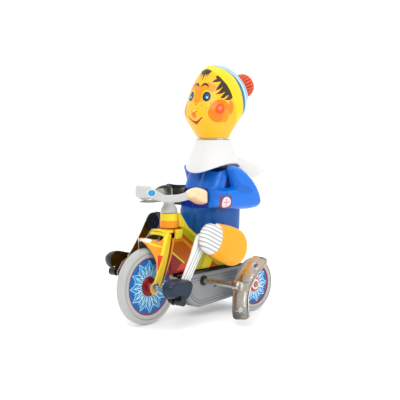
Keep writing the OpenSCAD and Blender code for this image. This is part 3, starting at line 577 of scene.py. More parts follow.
# ---- Base plate, motor cover and key ----------------------------------------------------------
# The black base plate, the grey boat-shaped cover with its double bead, and the butterfly key.
# Gears, plates and shafts keep their CAD meshes and only take metal finishes.
BRASS = finish("brass", lin(190, 150, 82), 0.34, 1.0, 0.0, 0.08, 0.2, 200)
COVER = finish("cover_grey", lin(126, 130, 132), 0.4, 0.35, 0.25, 0.07, 0.12, 70)
SPRING = finish("blued_spring", lin(70, 74, 88), 0.3, 0.9, 0.0, 0.05, 0.15, 90)
CAD_LOOKS = {BRASS: ["great_wheel", "layshaft_pinion", "layshaft_wheel", "axle_gear"],
    STEEL: ["motor_plate_left", "motor_plate_right", "motor_pillars", "layshaft", "ratchet_wheel",
    "click_spring", "rear_axle", "front_axle", "steering_stem", "hip_pin_left", "hip_pin_right", "neck_tube",
    "winding_shaft"], SPRING: ["mainspring"], BLACK: ["base_plate", "key_bush", "crank_left", "crank_right",
    "pedal_left", "pedal_right"]}
for mat, names in CAD_LOOKS.items():
    for name in names:
        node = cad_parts[name]
        node.data.materials.clear()
        node.data.materials.append(mat)
        node.data.shade_smooth()
        node.data.set_sharp_from_angle(angle=radians(32))

COVER_LOOP = [(-14, 29.1), (-14, 24)] + arc(4.3, 24, 18.3, 184, 262, 16) + arc(40, 18.5, 10.0, 278, 356,
    12) + [(50, 22), (50, 29.1)]


def cover_shade(mid, col):
    """Painted shade: dark lines in the two grooves beside the beads."""
    d = edge_distance(mid, COVER_LOOP)
    groove_shade = ((abs(d - 2.85) < 0.22) | (abs(d - 4.6) < 0.2)) & (mid[:, 1] < 27)
    col[groove_shade] = INK["dark_grey"]
    return col


for side, word in SIDES:
    def cover_place(p, d, side=side):
        bead = 0.28 * np.exp(-(((d - 3.4) / 0.5) ** 2)) + 0.22 * np.exp(-(((d - 5.2) / 0.4) ** 2))
        keep = p[:, 1] < 27
        return np.column_stack([side * (7.6 + 1.8 * rolled(d, 2.0) + bead * keep), p[:, 0], p[:, 1]])
    holes = [disc(4.3, 24, 2.95, 28), disc(16, 19, 1.0, 20)] if side > 0 else []
    printed_sheet(f"motor_cover_{word}", COVER_LOOP, [], "cover", cover_place, "chassis",
        ["motor_cover"], holes=holes, rolls=(0.1, 0.4, 0.9, 1.5, 2.0, 2.7, 3.0, 3.4, 3.8, 4.5, 4.7, 5.2, 5.6),
        flip=side < 0, mats=[LITHO_SATIN, COVER], grid=1.4, step=0.9, shade=cover_shade)


def cover_belly():
    """The band that joins the cover's two sides along its keel."""
    loop = COVER_LOOP[1:-1]
    verts = [(x, y, z) for y, z in loop for x in (-7.8, 7.8)]
    faces = [f[::-1] for f in grid_faces(len(loop) - 1, 2, False)]
    make_piece("motor_cover_keel", verts, faces, [COVER], "chassis", thickness=TIN)


cover_belly()

KEY_AT, KEY_TILT = (4.3, 24.0), radians(28)


def key_plate():
    """The key's flat butterfly: each wing has an embossed panel, a turned-up edge and a round eye."""
    half = [(36.0, 0), (36.2, 2.7), (38.2, 7.5), (40.8, 15.0), (43.0, 19.6), (44.4, 21.6), (46.6, 22.2),
        (55.0, 21.0), (56.6, 20.0), (57.1, 18.4), (55.4, 15.2), (53.4, 11.0), (51.6, 5.4), (50.9, 0)]
    loop = half[:-1] + [(x, -s) for x, s in half[:0:-1]]
    panels = [smooth_loop([(40.4, 3.6 * m), (47.6, 3.2 * m), (49.6, 9.6 * m), (51.2, 13.6 * m),
        (44.4, 17.4 * m), (42.4, 12.4 * m)], 5) for m in (1, -1)]
    cy, cz = KEY_AT

    def place(p, d):
        emboss = sum(inside(p, q) * np.clip(edge_distance(p, q) / 0.7, 0, 1) for q in panels) * 0.55
        lip = 0.7 * np.exp(-((d / 0.6) ** 2)) * (p[:, 0] > 50)
        lift = emboss + lip
        y = cy + p[:, 1] * sin(KEY_TILT) - lift * cos(KEY_TILT)
        z = cz + p[:, 1] * cos(KEY_TILT) + lift * sin(KEY_TILT)
        return np.column_stack([p[:, 0], y, z])
    printed_sheet("key_plate", loop, [], "grey", place, "key_set", ["key_handle"],
        holes=[disc(48.6, 15.4, 1.7, 24), disc(48.6, -15.4, 1.7, 24)], rolls=(0.25, 0.6, 1.1),
        mats=[STEEL, STEEL], grid=0.8, step=0.6, thickness=0.0007)
    wrap = [(36.0, 2.0), (36.0, 2.75), (36.5, 2.95), (41.0, 2.95), (41.6, 2.6), (41.8, 2.0), (42.0, 1.5),
        (42.1, 0.02)]
    lathe("key_socket", wrap, KEY_AT, 1, [STEEL], "key_set", (), 40)


key_plate()


# ---- Handlebar and steering head --------------------------------------------------------------
# A hollow pale-grey bar swept back from a rounded nose to both hands, with a plain round mark.
# Below it are the flared cone and the two-band head tube.
def handlebar():
    line = smooth_loop([(0, -44.6), (4.4, -42.6), (7.6, -37.4), (10.4, -31.6), (13.2, -25.4), (14.7, -18.4),
        (15.1, -9.6)], 6, False)
    path = [(-x, y) for x, y in line[:0:-1]] + line
    n, ring = len(path), 18
    verts = []
    for i, (x, y) in enumerate(path):
        a, b = path[max(i - 1, 0)], path[min(i + 1, n - 1)]
        t = Vector((b[0] - a[0], b[1] - a[1])).normalized()
        nx, ny = t[1], -t[0]
        nose = exp(-((x / 6.5) ** 2))
        grip = min(1, max(0, (-16 - y) / 8))
        rise = min(1, max(0, (-32 - y) / 10)) ** 1.3
        half_w, low, high = 1.3 + 0.5 * grip + 0.8 * nose, 79.4 + 3.2 * rise + 1.0 * (1
            - grip), 84.2 + 6.2 * rise + 1.6 * (1 - grip)
        mid, half_h = (low + high) / 2, (high - low) / 2
        for k in range(ring):
            ang = 2 * pi * k / ring
            c, s = cos(ang), sin(ang)
            dish = 0.35 * exp(-((s / 0.5) ** 2)) * (c > 0)
            r_w = half_w * copysign(abs(c) ** 0.6, c) - dish
            verts.append((x + nx * r_w, y + ny * r_w, mid + half_h * copysign(abs(s) ** 0.6, s)))
    faces = grid_faces(n - 1, ring) + [tuple(range(ring))[::-1],
        tuple((n - 1) * ring + k for k in range(ring))]
    cols = np.tile(INK["bar"], (len(faces), 1))
    make_piece("handlebar_rail", verts, [f[::-1] for f in faces], [LITHO_SATIN], "steering",
        ["handlebar"], cols, angle=50)
    web = [(-3.2, -43), (3.2, -43), (5.2, -38), (4.4, -28), (4.6, -19), (3.2, -15.4), (0, -14.4),
        (-3.2, -15.4), (-4.6, -19), (-4.4, -28), (-5.2, -38)]

    def under(p, d):
        return np.column_stack([p[:, 0], p[:, 1], 80.0 + 0.5 * np.clip(d / 1.0, 0, 1)])
    printed_sheet("handlebar_web", web, [], "bar_dark", under, "steering", grid=1.6,
        mats=[LITHO_SATIN, BARE])
    at, out = Vector((5.7, -41.2, 86.0)), Vector((0.83, -0.56, 0.05)).normalized()
    across = Vector((0, 0, 1)).cross(out).normalized()
    up = out.cross(across)
    for ink, r, lift in (("white", 2.5, 1.86), ("mark", 2.0, 1.94)):
        mark = disc(0, 0, r, 28)
        verts = [tuple(at + out * lift + across * a * 1.2 + up * b) for a, b in [(0, 0)] + mark]
        faces = [(0, 1 + i, 1 + (i + 1) % 28) for i in range(28)]
        make_piece(f"bar_mark_{ink}", verts, faces, [LITHO], "steering", (),
            np.tile(INK[ink], (28, 1)), 0.0002)


handlebar()


def upright(name, profile, mats, body, stands_for=(), ink=None, n=96):
    """Turn (radius, z) points round the steering axis."""
    t = np.arange(n) * 2 * pi / n
    verts = [(r * cos(a), STEM_Y + r * sin(a), z) for r, z in profile for a in t]
    levels = [(a[1] + b[1]) / 2 for a, b in zip(profile, profile[1:])]
    cols = [INK[ink(z) if ink else "bar"] for z in levels for _ in t]
    return make_piece(name, verts, grid_faces(len(profile) - 1, n), mats, body, stands_for, cols)


upright("head_tube_print", [(2.5, 61.3), (5.9, 61.3), (6.2, 61.6), (6.2, 65.8), (6.1, 66.2), (5.8, 66.5),
    (5.75, 70.4), (5.5, 70.9), (2.5, 71.0)], [LITHO], "chassis", ["head_tube"],
    lambda z: "orange" if z < 66.2 else "yellow")
gusset = [(-14.6, 70.6), (-13.2, 70.8), (-12.2, 69.6), (-9.6, 65.0), (-6.0, 60.6), (-12.4, 60.6), (-14.6, 62)]
verts = [(w * (5.5 if z < 66 else 4.6), y, z) for w in (1, -1) for y, z in gusset]
faces = [tuple(range(7))[::-1], tuple(range(7, 14))] + [(i, (i + 1) % 7, 7 + (i + 1) % 7, 7 + i)
    for i in range(7)]
make_piece("frame_gusset", verts, faces, [LITHO], "chassis", (),
    np.tile(INK["yellow"], (len(faces), 1)), angle=40)
upright("stem_cone_tin", [(2.45, 71.3), (5.4, 71.3), (5.6, 71.7), (5.5, 73.0), (5.0, 74.4), (4.1, 75.6),
    (3.7, 76.8), (3.6, 78.4), (4.1, 79.5), (2.45, 79.5)], [LITHO_SATIN], "steering",
    ["stem_cone"])


# ---- Legs -------------------------------------------------------------------------------------
# Each lower leg is one half-shell: a white shin with lengthwise grey stripes and a navy shoe. The
# right one shows its bare inner side. The thighs have striped knee caps and plain orange above.
CRANK, CRANK_R = radians(62), 8.2
PEDAL = {s: (FRONT[0] + s * CRANK_R * cos(CRANK), FRONT_R - s * CRANK_R * sin(CRANK)) for s in (1, -1)}
LEG_X, THIGH_RIM = 20.4, 25.0  # from the middle plane to the open rims of shin and thigh
SHIN_SLOPE = {1: 52.6, -1: 44.6}
HIP, THIGH_RISE = (12.0, 47.0), {1: 22.8, -1: 34.0}


def turned(loop, at, deg):
    c, s = cos(radians(deg)), sin(radians(deg))
    return [(at[0] + u * c - v * s, at[1] + u * s + v * c) for u, v in loop]


shin = [(11.4, 1.9), (20, 2.9), (30, 4.2), (37, 5.8)] + arc(43, 1, 6.0, 105, -100, 16) + [(37.6, -3.6),
    (30, -3.7), (22, -4.3), (13.4, -4.8)]
shoe = smooth_loop([(16.2, -1.0), (14.2, 3.0), (11.4, 7.6), (8.8, 11.6), (5.4, 13.9), (1.6, 14.0),
    (-1.2, 11.6), (-2.4, 8.0), (-1.2, 4.0), (0.6, 1.6), (1.4, -2.2), (3.0, -5.2), (6.8, -6.4), (12.0, -5.8),
    (15.4, -4.0)], 6)


def lower_leg(side, word):
    at, deg, body = PEDAL[side], SHIN_SLOPE[side], f"leg_{word}"
    hole = disc(43, 0, 1.6, 24)
    stripes = [("stripe", [(8, v * 0.62 - 1.5), (43.0 + 5 * cos(v / 6), v), (43.0 + 5 * cos(v / 6), v + 0.75),
        (8, v * 0.62 - 0.95)]) for v in (-3.9, -1.3, 1.3, 3.9)]
    mats = [LITHO, OLIVE]
    printed_sheet(f"shin_print_{word}", turned(shin, at, deg), [(i, turned(q, at, deg)) for i, q in stripes],
        "white", pressed(LEG_X, 2.6, 1.5, side), body, [f"lower_leg_{word}"],
        holes=[turned(hole, at, deg)], rolls=(0.1, 0.35, 0.8, 1.3), flip=side < 0, mats=mats, grid=1.0)
    notch = disc(0, 0, 3.1, 32)
    place = pressed(LEG_X + 0.2, 7.0, 2.6, side)
    printed_sheet(f"shoe_print_{word}", turned(shoe, at, deg), [], "shoe", place, body,
        holes=[turned(notch, at, deg)], rolls=(0.1, 0.4, 0.9, 1.6, 2.3), flip=side < 0, mats=mats, grid=0.9,
        step=0.5)
    lug = arc(0, 0, 3.2, 120, 330, 14) + [(8, -3), (11, 2), (6, 4)]
    printed_sheet(f"pedal_lug_{word}", turned(lug, at, deg), [], "shoe", pressed(20.5, 0.5, 0.5, side), body,
        holes=[turned(disc(0, 0, 1.26, 24), at, deg)], flip=side < 0, grid=1.2)
    # A navy disc, printed on both faces and set just inside the open rim at the knee end, is painted shadow
    # in the shell's hollow.
    inner = arc(43, 1, 5.6, 0, 360, 32)[:-1]
    printed_sheet(f"knee_painted_shadow_{word}", turned(inner, at, deg), [], "navy", pressed(20.45, 0.25, 1.0, side),
        body, holes=[turned(hole, at, deg)], flip=side < 0, grid=1.4, mats=[LITHO, LITHO])
    eyelet = [(20.2, 1.5), (20.2, 2.3), (20.5, 2.5), (23.1, 2.5), (23.3, 2.1), (23.3, 1.5)]
    knee = turned([(43, 0)], at, deg)[0]
    lathe(f"knee_eyelet_{word}", eyelet, knee, side, [BRASS], body, (), 32)


def thigh(side, word):
    deg = -THIGH_RISE[side]
    body = f"upper_leg_{word}"
    loop = arc(-21.2, 0, 9.8, 82, 262, 20) + [(-13, -10.9), (-6, -11.6), (2, -11.6)] + arc(2.5, 1.2, 12.8,
        -88, 88, 20) + [(-6, 13.6), (-14, 12.2), (-18, 11.2)]
    cap = [(-32, -11), (-17.6, -11.4)] + arc(-27.6, 0, 13.6, -46, 46, 12) + [(-17.6, 12.2), (-32, 12)]
    stripes = []
    for k, v in enumerate((-7.6, -5.0, -2.5, 0.0, 2.5, 5.0, 7.6)):
        stripes.append(("stripe", [(-32, v - 0.6 + 0.9), (-14.6, v - 0.6), (-14.6, v + 0.36),
            (-32, v + 0.36 + 0.9)]))
    tail = [("thigh", [(-17.8, -11.6)] + arc(-27.8, 0, 13.8, -46, 46, 12)
        + [(-17.8, 12.4), (20, 16), (20, -14)])]
    seam = [("rust", [(-18.0, -11.4)] + arc(-27.9, 0, 13.6, -46, 46, 12) + [(-18.0, 12)]
        + arc(-27.9, 0, 13.8, 46, -46, 12))]
    prints = [("white", cap)] + stripes + tail + seam

    def place(p, d):
        h = 5.0 * rolled(d, 3.2) ** 0.9 + 0.5 * (1 - np.exp(-d / 5))
        knee = np.linalg.norm(p - np.array(turned([(-21.2, 0)], HIP, deg)[0]), axis=1)
        h = h - 0.35 * np.exp(-(((knee - 11.2) / 0.8) ** 2)) * (d > 1.5)
        return np.column_stack([side * (THIGH_RIM + np.minimum(h, 5.5)), p[:, 0], p[:, 1]])
    printed_sheet(f"thigh_print_{word}", turned(loop, HIP, deg),
        [(i, turned(q, HIP, deg)) for i, q in prints], "thigh", place, body, [f"thigh_{word}"],
        rolls=(0.12, 0.4, 0.9, 1.6, 2.4, 3.2), flip=side < 0, grid=1.0)
    boss = [(THIGH_RIM, 1.6), (THIGH_RIM, 3.0), (THIGH_RIM + 4.6, 3.0)]
    lathe(f"hip_boss_{word}", boss, HIP, side, [BARE], body, (), 40)


for side, word in SIDES:
    lower_leg(side, word)
    thigh(side, word)


# ---- Jersey: trunk, sleeves and hands ---------------------------------------------------------
# The trunk is two halves that meet in the middle plane. The sleeves are half-shells with open
# inner sides, bent at the elbow, and the hands are small shells that close on the bar.
# TRUNK rows are (height, half width, front y, back y).
PLAN_DEG, PLAN_BACK = 0.36, 64.8  # a flat print's millimetres for one degree round the body, and for 180
TRUNK = [(46, 18.0, 3.4, 37.4), (58, 18.0, 3.9, 38.0), (70, 18.0, 4.4, 38.4), (80, 17.6, 7.4, 38.2),
    (88, 17.4, 10.4, 37.4), (94, 16.9, 13.4, 35.8), (97, 16.0, 15.0, 34.6), (98.8, 14.2, 16.2, 33.4),
    (99.7, 10.8, 17.6, 31.8), (100.0, 7.1, 18.4, 31.0)]


def table_at(table, z, col):
    t = np.array(table)
    return np.interp(z, t[:, 0], t[:, col])


def trunk_place(side):
    def place(p, d):
        phi = np.radians(p[:, 0] / PLAN_DEG)
        a, f, b = (table_at(TRUNK, p[:, 1], k) for k in (1, 2, 3))
        power = 2 / 3.6
        x = a * np.sin(phi).clip(0) ** power
        c = np.cos(phi)
        y = (f + b) / 2 - (b - f) / 2 * np.sign(c) * np.abs(c) ** power
        return np.column_stack([side * x, y, p[:, 1]])
    return place


def trunk(side, word):
    loop = [(0, 53.4), (3.4, 53.4), (3.4, 46)] + [(PLAN_BACK, z)
        for z in (46, 58, 70, 80, 88, 94, 100)] + [(0, 100), (0, 88), (0, 70)]
    wide = [(-1, 40), (66, 40), (66, 101), (-1, 101)]
    # The trunk's blues are lit and shaded copies of one jersey blue: painted shade over the lower trunk, the
    # back and the band level with the arm; painted shadow under the arm, between arm and chest, along the
    # shoulders under the collar and low on the front; and a painted highlight on the upper chest.
    prints = [("jersey_lower_painted_shade", wide), ("jersey_painted_shade", [(-1, 72), (20, 74), (40, 71.5), (66, 72), (66, 101),
        (-1, 101)]), ("jersey_painted_shadow", [(2, 76), (24, 79), (40, 73.4), (46, 76), (46, 84), (10, 84), (2, 84)]),
        ("jersey_painted_shadow", smooth_loop([(5, 55), (12, 60), (20, 57.5), (28, 63), (30, 56), (26, 48), (12, 47)],
        5)), ("jersey", [(-1, 86), (14, 84.4), (66, 84.4), (66, 101), (-1, 101)]),
        ("jersey_painted_light", [(8, 84.6), (13, 91), (24, 91), (26, 84.6)]),
        ("jersey_painted_shadow", [(26.5, 84.4), (29.0, 96.6), (30.4, 96.6), (34.5, 84.4)]),
        ("jersey_painted_shadow", [(-1, 97.4), (12, 96.4), (24, 97.6), (40, 97.6), (66, 97), (66, 101), (-1, 101)]),
        ("jersey_painted_shade", [(56, 46), (66, 46), (66, 72), (58, 72)])]
    printed_sheet(f"trunk_print_{word}", loop, prints, "jersey_lower_painted_shade", trunk_place(side), "chassis",
        [f"torso_{word}"], flip=side < 0, grid=0.9)


def sleeve(side, word):
    loop = [(-0.8, 88.0), (5, 86.9), (10, 86.4), (17, 86.0), (21.2, 86.6), (20.4, 90.5), (18.6, 95.6),
        (17.8, 99.2), (20, 100.6), (24, 100.7), (28.6, 99.4), (34, 96.2), (39.6, 91.8), (44.6, 86.2),
        (48.2, 80.2), (49.6, 75.6), (48.6, 72.2), (45.2, 70.6), (38, 70.2), (26, 70.8), (12, 72.2),
        (-0.8, 74.0)]
    cuff = [(-2, 90), (0.8, 90), (0.8, 72), (-2, 72)]
    # The sleeve's lighter blue base is a painted lit tone of the jersey blue, and the plain jersey patches at
    # the elbow crook and along the outer edge are painted shade.
    prints = [("jersey", smooth_loop([(14, 86.4), (22, 84.2), (30, 82.0), (37, 82.4), (33, 86.5), (26, 88.6),
        (21.5, 93.6), (19, 99), (16, 92)], 5)), ("jersey",
        smooth_loop([(24, 102), (33, 97.4), (40, 90.6), (45.2, 83), (46.8, 75.6), (44.5, 69), (54, 69),
        (54, 84), (44, 96), (30, 104)], 5)), ("jersey",
        [(-2, 80), (5, 79.4), (12, 80), (14, 86.8), (-2, 89)]), ("jersey", cuff),
        ("badge", [(3.4, 81.8), (15.6, 81.3), (16.4, 71.2), (3.6, 72.4)]),
        ("badge_disc", disc(10.6, 77.2, 4.3, 36, 0.86, -4)),
        ("badge_mark", [(10.1, 80.0), (11.1, 80.0), (11.1, 74.4), (10.1, 74.4)]),
        ("badge_mark", [(7.6, 77.7), (13.6, 77.7), (13.6, 76.7), (7.6, 76.7)])]

    def place(p, d):
        h = 5.9 * rolled(d, 4.2) + 0.7 * (1 - np.exp(-d / 6))
        elbow = 0.5 * np.exp(-(((p[:, 0] - 38) / 9) ** 2) - ((p[:, 1] - 82) / 8) ** 2)
        fold = 0.3 * np.exp(-(((p[:, 1] - 84.0 + 0.25 * (p[:, 0] - 24)) / 1.1) ** 2)) * np.exp(-(((p[:, 0]
            - 26) / 8) ** 2))
        return np.column_stack([side * (18.0 + np.minimum(h, 6.5) + elbow - fold), p[:, 0], p[:, 1]])
    printed_sheet(f"sleeve_print_{word}", loop, prints, "jersey_painted_light", place, "chassis",
        [f"arm_{word}"], rolls=(0.12, 0.4, 0.9, 1.7, 2.8, 4.0), flip=side < 0, grid=1.0)


def hand(side, word):
    loop = smooth_loop([(-18.6, 85.0), (-14.4, 87.0), (-8.8, 87.8), (-4.0, 87.0), (-1.4, 85.4), (-0.9, 81.5),
        (-1.2, 77.2), (-4.0, 76.2), (-8.8, 77.2), (-13.4, 79.4), (-18.2, 81.0), (-19.4, 83.2)], 6)
    thumb = smooth_loop([(-18.4, 84.6), (-13.8, 86.4), (-11.6, 84.6), (-13.6, 82.6), (-18.0, 82.0)], 5)

    def place(p, d):
        swell = 0.75 + 0.25 * np.clip((p[:, 0] + 19) / 8, 0, 1)
        h = 6.4 * rolled(d, 3.4) * swell
        return np.column_stack([side * (13.7 + h), p[:, 0], p[:, 1]])
    printed_sheet(f"hand_print_{word}", loop, [("hand_shade",
        smooth_loop([(-19.4, 83.6), (-15, 82.2), (-8, 78.8), (-2, 77.4), (-2, 75), (-12, 76.5), (-20, 80.5)],
        5)), ("hand_shade", thumb), ("hand", smooth_loop([(-18.0, 84.5), (-14, 85.9), (-12.2, 84.6),
        (-14, 83.0), (-17.8, 82.5)], 5))], "hand", place, "chassis", [f"hand_{word}"],
        rolls=(0.12, 0.4, 0.9, 1.6, 2.6, 3.4), flip=side < 0, grid=0.8, step=0.5)


for side, word in SIDES:
    trunk(side, word)
    sleeve(side, word)
    hand(side, word)


# ---- Head and pompom --------------------------------------------------------------------------
# The head is a stamped shell in two halves. Its print is drawn as (degrees from the nose, height):
# face, dark zigzag hair, yellow cap with ringed bands, and a ribbed pompom behind.
# HEAD rows are (height, centre y, half width, depth in front, depth behind).
HEAD = [(117.6, 25.8, 10.6, 10.8, 8.2), (118.6, 25.7, 11.2, 11.6, 8.3), (121, 25.3, 12.8, 13.0, 8.8),
    (124, 25.2, 14.6, 14.8, 9.8), (127, 25.5, 16.5, 17.0, 11.0), (130, 25.9, 18.3, 19.1, 13.0),
    (133, 26.4, 19.6, 20.7, 15.4), (136, 26.9, 20.4, 21.4, 18.0), (139.5, 27.3, 20.4, 21.0, 20.4),
    (143, 27.4, 19.8, 19.8, 23.0), (147, 27.3, 18.7, 18.5, 25.4), (151, 27.1, 17.1, 16.9, 25.8),
    (156, 26.6, 14.6, 14.2, 24.4), (161, 25.9, 11.2, 10.8, 20.4), (164.5, 25.2, 8.0, 7.6, 16.2),
    (166.6, 24.8, 5.2, 4.8, 11.5), (167.6, 24.6, 2.9, 2.8, 7.0), (167.98, 24.5, 0.4, 0.4, 0.6)]


def head_curves(z):
    t = np.array(HEAD)
    order = np.linspace(0, len(t) - 1, 900)
    fine = np.array(smooth_rows(t, order))
    return [np.interp(z, fine[:, 0], fine[:, k]) for k in (1, 2, 3, 4)]


def smooth_rows(t, order):
    rows = []
    for o in order:
        i, f = min(int(o), len(t) - 2), o - min(int(o), len(t) - 2)
        p0, p1, p2, p3 = t[max(i - 1, 0)], t[i], t[i + 1], t[min(i + 2, len(t) - 1)]
        rows.append(0.5 * ((2 * p1) + (p2 - p0) * f + (2 * p0 - 5 * p1 + 4 * p2 - p3) * f**2
            + (3 * p1 - p0 - 3 * p2 + p3) * f**3))
    return rows


def height_table():
    """Distance along the profile for each height, so that the flat plan keeps its scale near the crown."""
    z = np.linspace(HEAD[0][0], HEAD[-1][0], 1200)
    r = head_curves(z)[1]
    run = np.concatenate([[0], np.cumsum(np.hypot(np.diff(z), np.diff(r)))])
    return z, run


HEAD_Z, HEAD_RUN = height_table()


def plan(points):
    return [(phi * PLAN_DEG, float(np.interp(z, HEAD_Z, HEAD_RUN))) for phi, z in points]


def head_place(side):
    def place(p, d):
        z = np.interp(p[:, 1], HEAD_RUN, HEAD_Z)
        yc, a, front, back = head_curves(z)
        phi = np.radians(p[:, 0] / PLAN_DEG)
        b = np.where(phi < pi / 2, front, back)
        nose = 1.3 * np.exp(-((p[:, 0] / PLAN_DEG / 7.5) ** 2) - ((z - 135.8) / 2.2) ** 2)
        cheek = 0.35 * np.exp(-(((p[:, 0] / PLAN_DEG - 48) / 17) ** 2) - ((z - 137.5) / 5.5) ** 2)
        grow = 1 + (nose + cheek) / 20
        return np.column_stack([side * a * np.sin(phi) * grow, yc - b * np.cos(phi) * grow, z])
    return place


def cap_line(back):
    """The edge of a cap band that lies back mm behind the teal one, as (degrees, height)."""
    ys = {129.6: 32.0, 134: 33.0, 138: 33.0, 142: 33.2, 147: 33.5, 152: 33.7, 156: 33.3, 160: 32.4,
        162.3: 30.4, 164.4: 28.0, 166.2: 24.4, 167.9: 21.0}
    out = []
    for z in np.linspace(129.6, 167.9, 60):
        y = np.interp(z, list(ys), list(ys.values())) + back * min(1, max(0.25, (169 - z) / 14))
        yc, a, front, rear = head_curves(z)
        c = (yc - y) / (rear if y > yc else front)
        if c > -1:
            out.append((degrees(acos(min(c, 1))), float(z)))
    return out


def band(back):
    line = cap_line(back)
    return plan(line + [(181, line[-1][1] + 0.01), (181, 129.6)])


# The last two rings, small and off centre, are a painted highlight in the eye.
EYE_RINGS = (("eye", 3.3, 0, 0), ("navy", 2.8, 0, 0), ("teal", 1.9, 0, 0), ("eye", 1.45, 0, 0),
    ("sky", 0.85, 0.8, -0.4), ("white", 0.42, 2.2, -0.9))


def spot(phi, z, r, squash=1.0):
    """A round print centred at these degrees and height."""
    at = plan([(phi, z)])[0]
    return [(at[0] + r * cos(2 * pi * i / 36), at[1] + r * squash * sin(2 * pi * i / 36)) for i in range(36)]


def head(side, word):
    foot = [(0, 118.2), (30, 118.6), (60, 119.1), (90, 118.9), (120, 118.6), (180, 118.2)]
    top = 167.9
    loop = plan(foot) + plan([(180, z) for z in np.linspace(120, top, 30)]) + plan([(p, top)
        for p in range(170, 0, -10)]) + plan([(0, z) for z in np.linspace(top, 120, 30)])
    cap = [(-1, 165.4), (22, 165.0), (35, 163.9), (48.7, 161.6), (58, 159.8), (65.4, 157.2), (71.5, 154.6),
        (75.3, 151.4), (77.5, 147.2), (80, 142), (83.5, 137.4), (88, 133.4), (94, 130.6), (101, 129.7),
        (110, 129.6), (181, 129.6), (181, 168), (-1, 168)]
    tuft = [(-1, 165.2), (12, 165.0), (31.5, 163.9), (26, 163.0), (22.4, 162.0), (19.4, 162.4), (17.2, 159.4),
        (13.6, 162.0), (11.0, 160.4), (12.5, 157.0), (8.4, 160.6), (6.4, 162.2), (2.6, 160.0), (0.6, 157.6),
        (-1, 158.6)]
    hair = [(43.0, 159.8), (49, 160.8), (55.0, 161.6), (62, 160.2), (69.5, 157.4), (74, 155.2), (77.0, 152.4),
        (79.0, 147.5), (77.0, 146.2), (74.5, 145.3), (68.5, 144.4), (57.0, 144.6), (63.5, 145.9),
        (69.0, 147.8), (63, 147.2), (58.0, 145.9), (49.5, 145.7), (55.5, 148.0), (62.5, 150.1), (53.5, 148.8),
        (39.0, 148.2), (48.5, 150.1), (59.5, 153.6), (51.5, 151.9), (38.5, 150.4), (48.0, 154.0),
        (57.0, 156.9), (48.0, 156.5), (31.0, 156.1), (39.5, 158.0), (47.0, 158.8)]
    brow = [(3.4, 152.8), (4.6, 154.6), (8.4, 155.7), (13, 156.0), (18.6, 155.6), (23.4, 154.4),
        (26.4, 152.6), (22.4, 153.4), (17.6, 154.2), (12.8, 154.4), (8.6, 154.0)]
    glow = smooth_loop([(-3, 142.4), (4, 142.6), (9, 144.4), (10.6, 148.4), (14, 150.8), (20, 151.4),
        (28, 150.4), (33, 149.4), (38, 151.2), (44, 153.4), (36, 154.8), (24, 156.0), (10, 156.0), (3, 154.6),
        (-3, 153.6)], 5)
    mouth = [(-1, 128.0), (3, 128.5), (8.4, 129.7), (13.0, 131.0), (16.6, 132.3), (17.0, 133.0),
        (14.4, 132.6), (9.0, 131.4), (4.0, 130.6), (-1, 130.5)]
    prints = [("skin_shade", plan(glow)), ("cheek", spot(49.5, 137.2, 7.5, 1.06)),
        ("skin_shade", spot(63.5, 133.8, 2.4, 1.9)), ("cheek_red", spot(50.0, 138.8, 3.1, 1.12)),
        # The small light spot inside the red cheek is a painted highlight.
        ("cheek_painted_highlight", spot(50.3, 139.2, 1.4, 1.1)), ("ear",
        plan(smooth_loop([(69.6, 144.4), (75.0, 143.4), (77.6, 140.2), (76.0, 136.8), (71.5, 134.6),
        (69.6, 137.4)], 5))), ("cheek", plan(smooth_loop([(68.6, 143.8), (72.6, 142.8), (74.6, 140.2),
        (73.4, 137.4), (69.6, 136.0), (66.4, 139.6)], 5))), ("hair", plan(hair)), ("hair", plan(tuft)),
        ("hair", plan(brow)), *((ink, spot(21.6 + across, 146.9 + up, r, 1.04)) for ink, r, across,
        up in EYE_RINGS), ("cheek", spot(1.4, 134.6, 1.7, 1.2)),
        # The cheek-orange spot at the nose tip, on the line above, is painted shade; the brown line here is
        # the printed nose.
        ("brown", plan([(7.0, 137.6), (4.2, 136.9), (0.6, 135.2), (0.6, 134.7), (4.6, 136.3), (7.6, 137.0)])),
        ("mouth", plan(mouth)), ("brown", spot(16.6, 132.8, 0.66))]
    prints += [("brown", spot(p, z, 0.36)) for p, z in ((3.2, 143.8), (11.5, 143.9), (2.0, 141.6),
        (14.0, 141.1), (5.0, 138.7), (25.0, 139.2), (31.5, 142.5))]
    prints += [("hat", plan(cap))]
    for back, ink in ((0.0, "teal"), (3.5, "sky"), (4.4, "white"), (5.8, "sky"), (8.6, "band"), (9.6, "sky"),
        (11.6, "white"), (12.8, "band"), (14.2, "sky")):
        prints.append((ink, band(back)))
    printed_sheet(f"head_print_{word}", loop, prints, "skin", head_place(side), "chassis",
        [f"head_{word}"], flip=side < 0, grid=0.85, step=0.4)


for side, word in SIDES:
    head(side, word)


def pompom():
    """A half-ball with deep radial ribs, set on the back of the cap."""
    centre, r, rows, n = Vector((0, 55.0, 153.8)), 8.4, 40, 132
    axis = Vector((0, 0.96, 0.28)).normalized()
    u = Vector((1, 0, 0))
    v = axis.cross(u)
    verts = []
    for i in range(rows + 1):
        th = radians(2 + 138 * i / rows)
        for j in range(n):
            a = 2 * pi * j / n
            rib = 0.5 * abs(sin(a * 11)) * sin(min(th * 1.15, pi / 2))
            rr = r - 0.35 + rib
            d = axis * cos(th) * 0.93 + (u * cos(a) + v * sin(a)) * sin(th)
            verts.append(tuple(centre + d * rr))
    faces = [(b, c, d, a) for a, b, c, d in grid_faces(rows, n)] + [tuple(range(n))]
    # The darker red in the creases between the ribs is painted shade.
    row = [INK["pom_painted_shade" if abs(sin(2 * pi * (j + 0.5) / n * 11)) < 0.34 else "pom"] for j in range(n)]
    cols = row * rows + [INK["pom"]]
    make_piece("pompom_print", verts, faces, [LITHO_SATIN], "chassis", ["pompom"], cols,
        angle=60)


pompom()


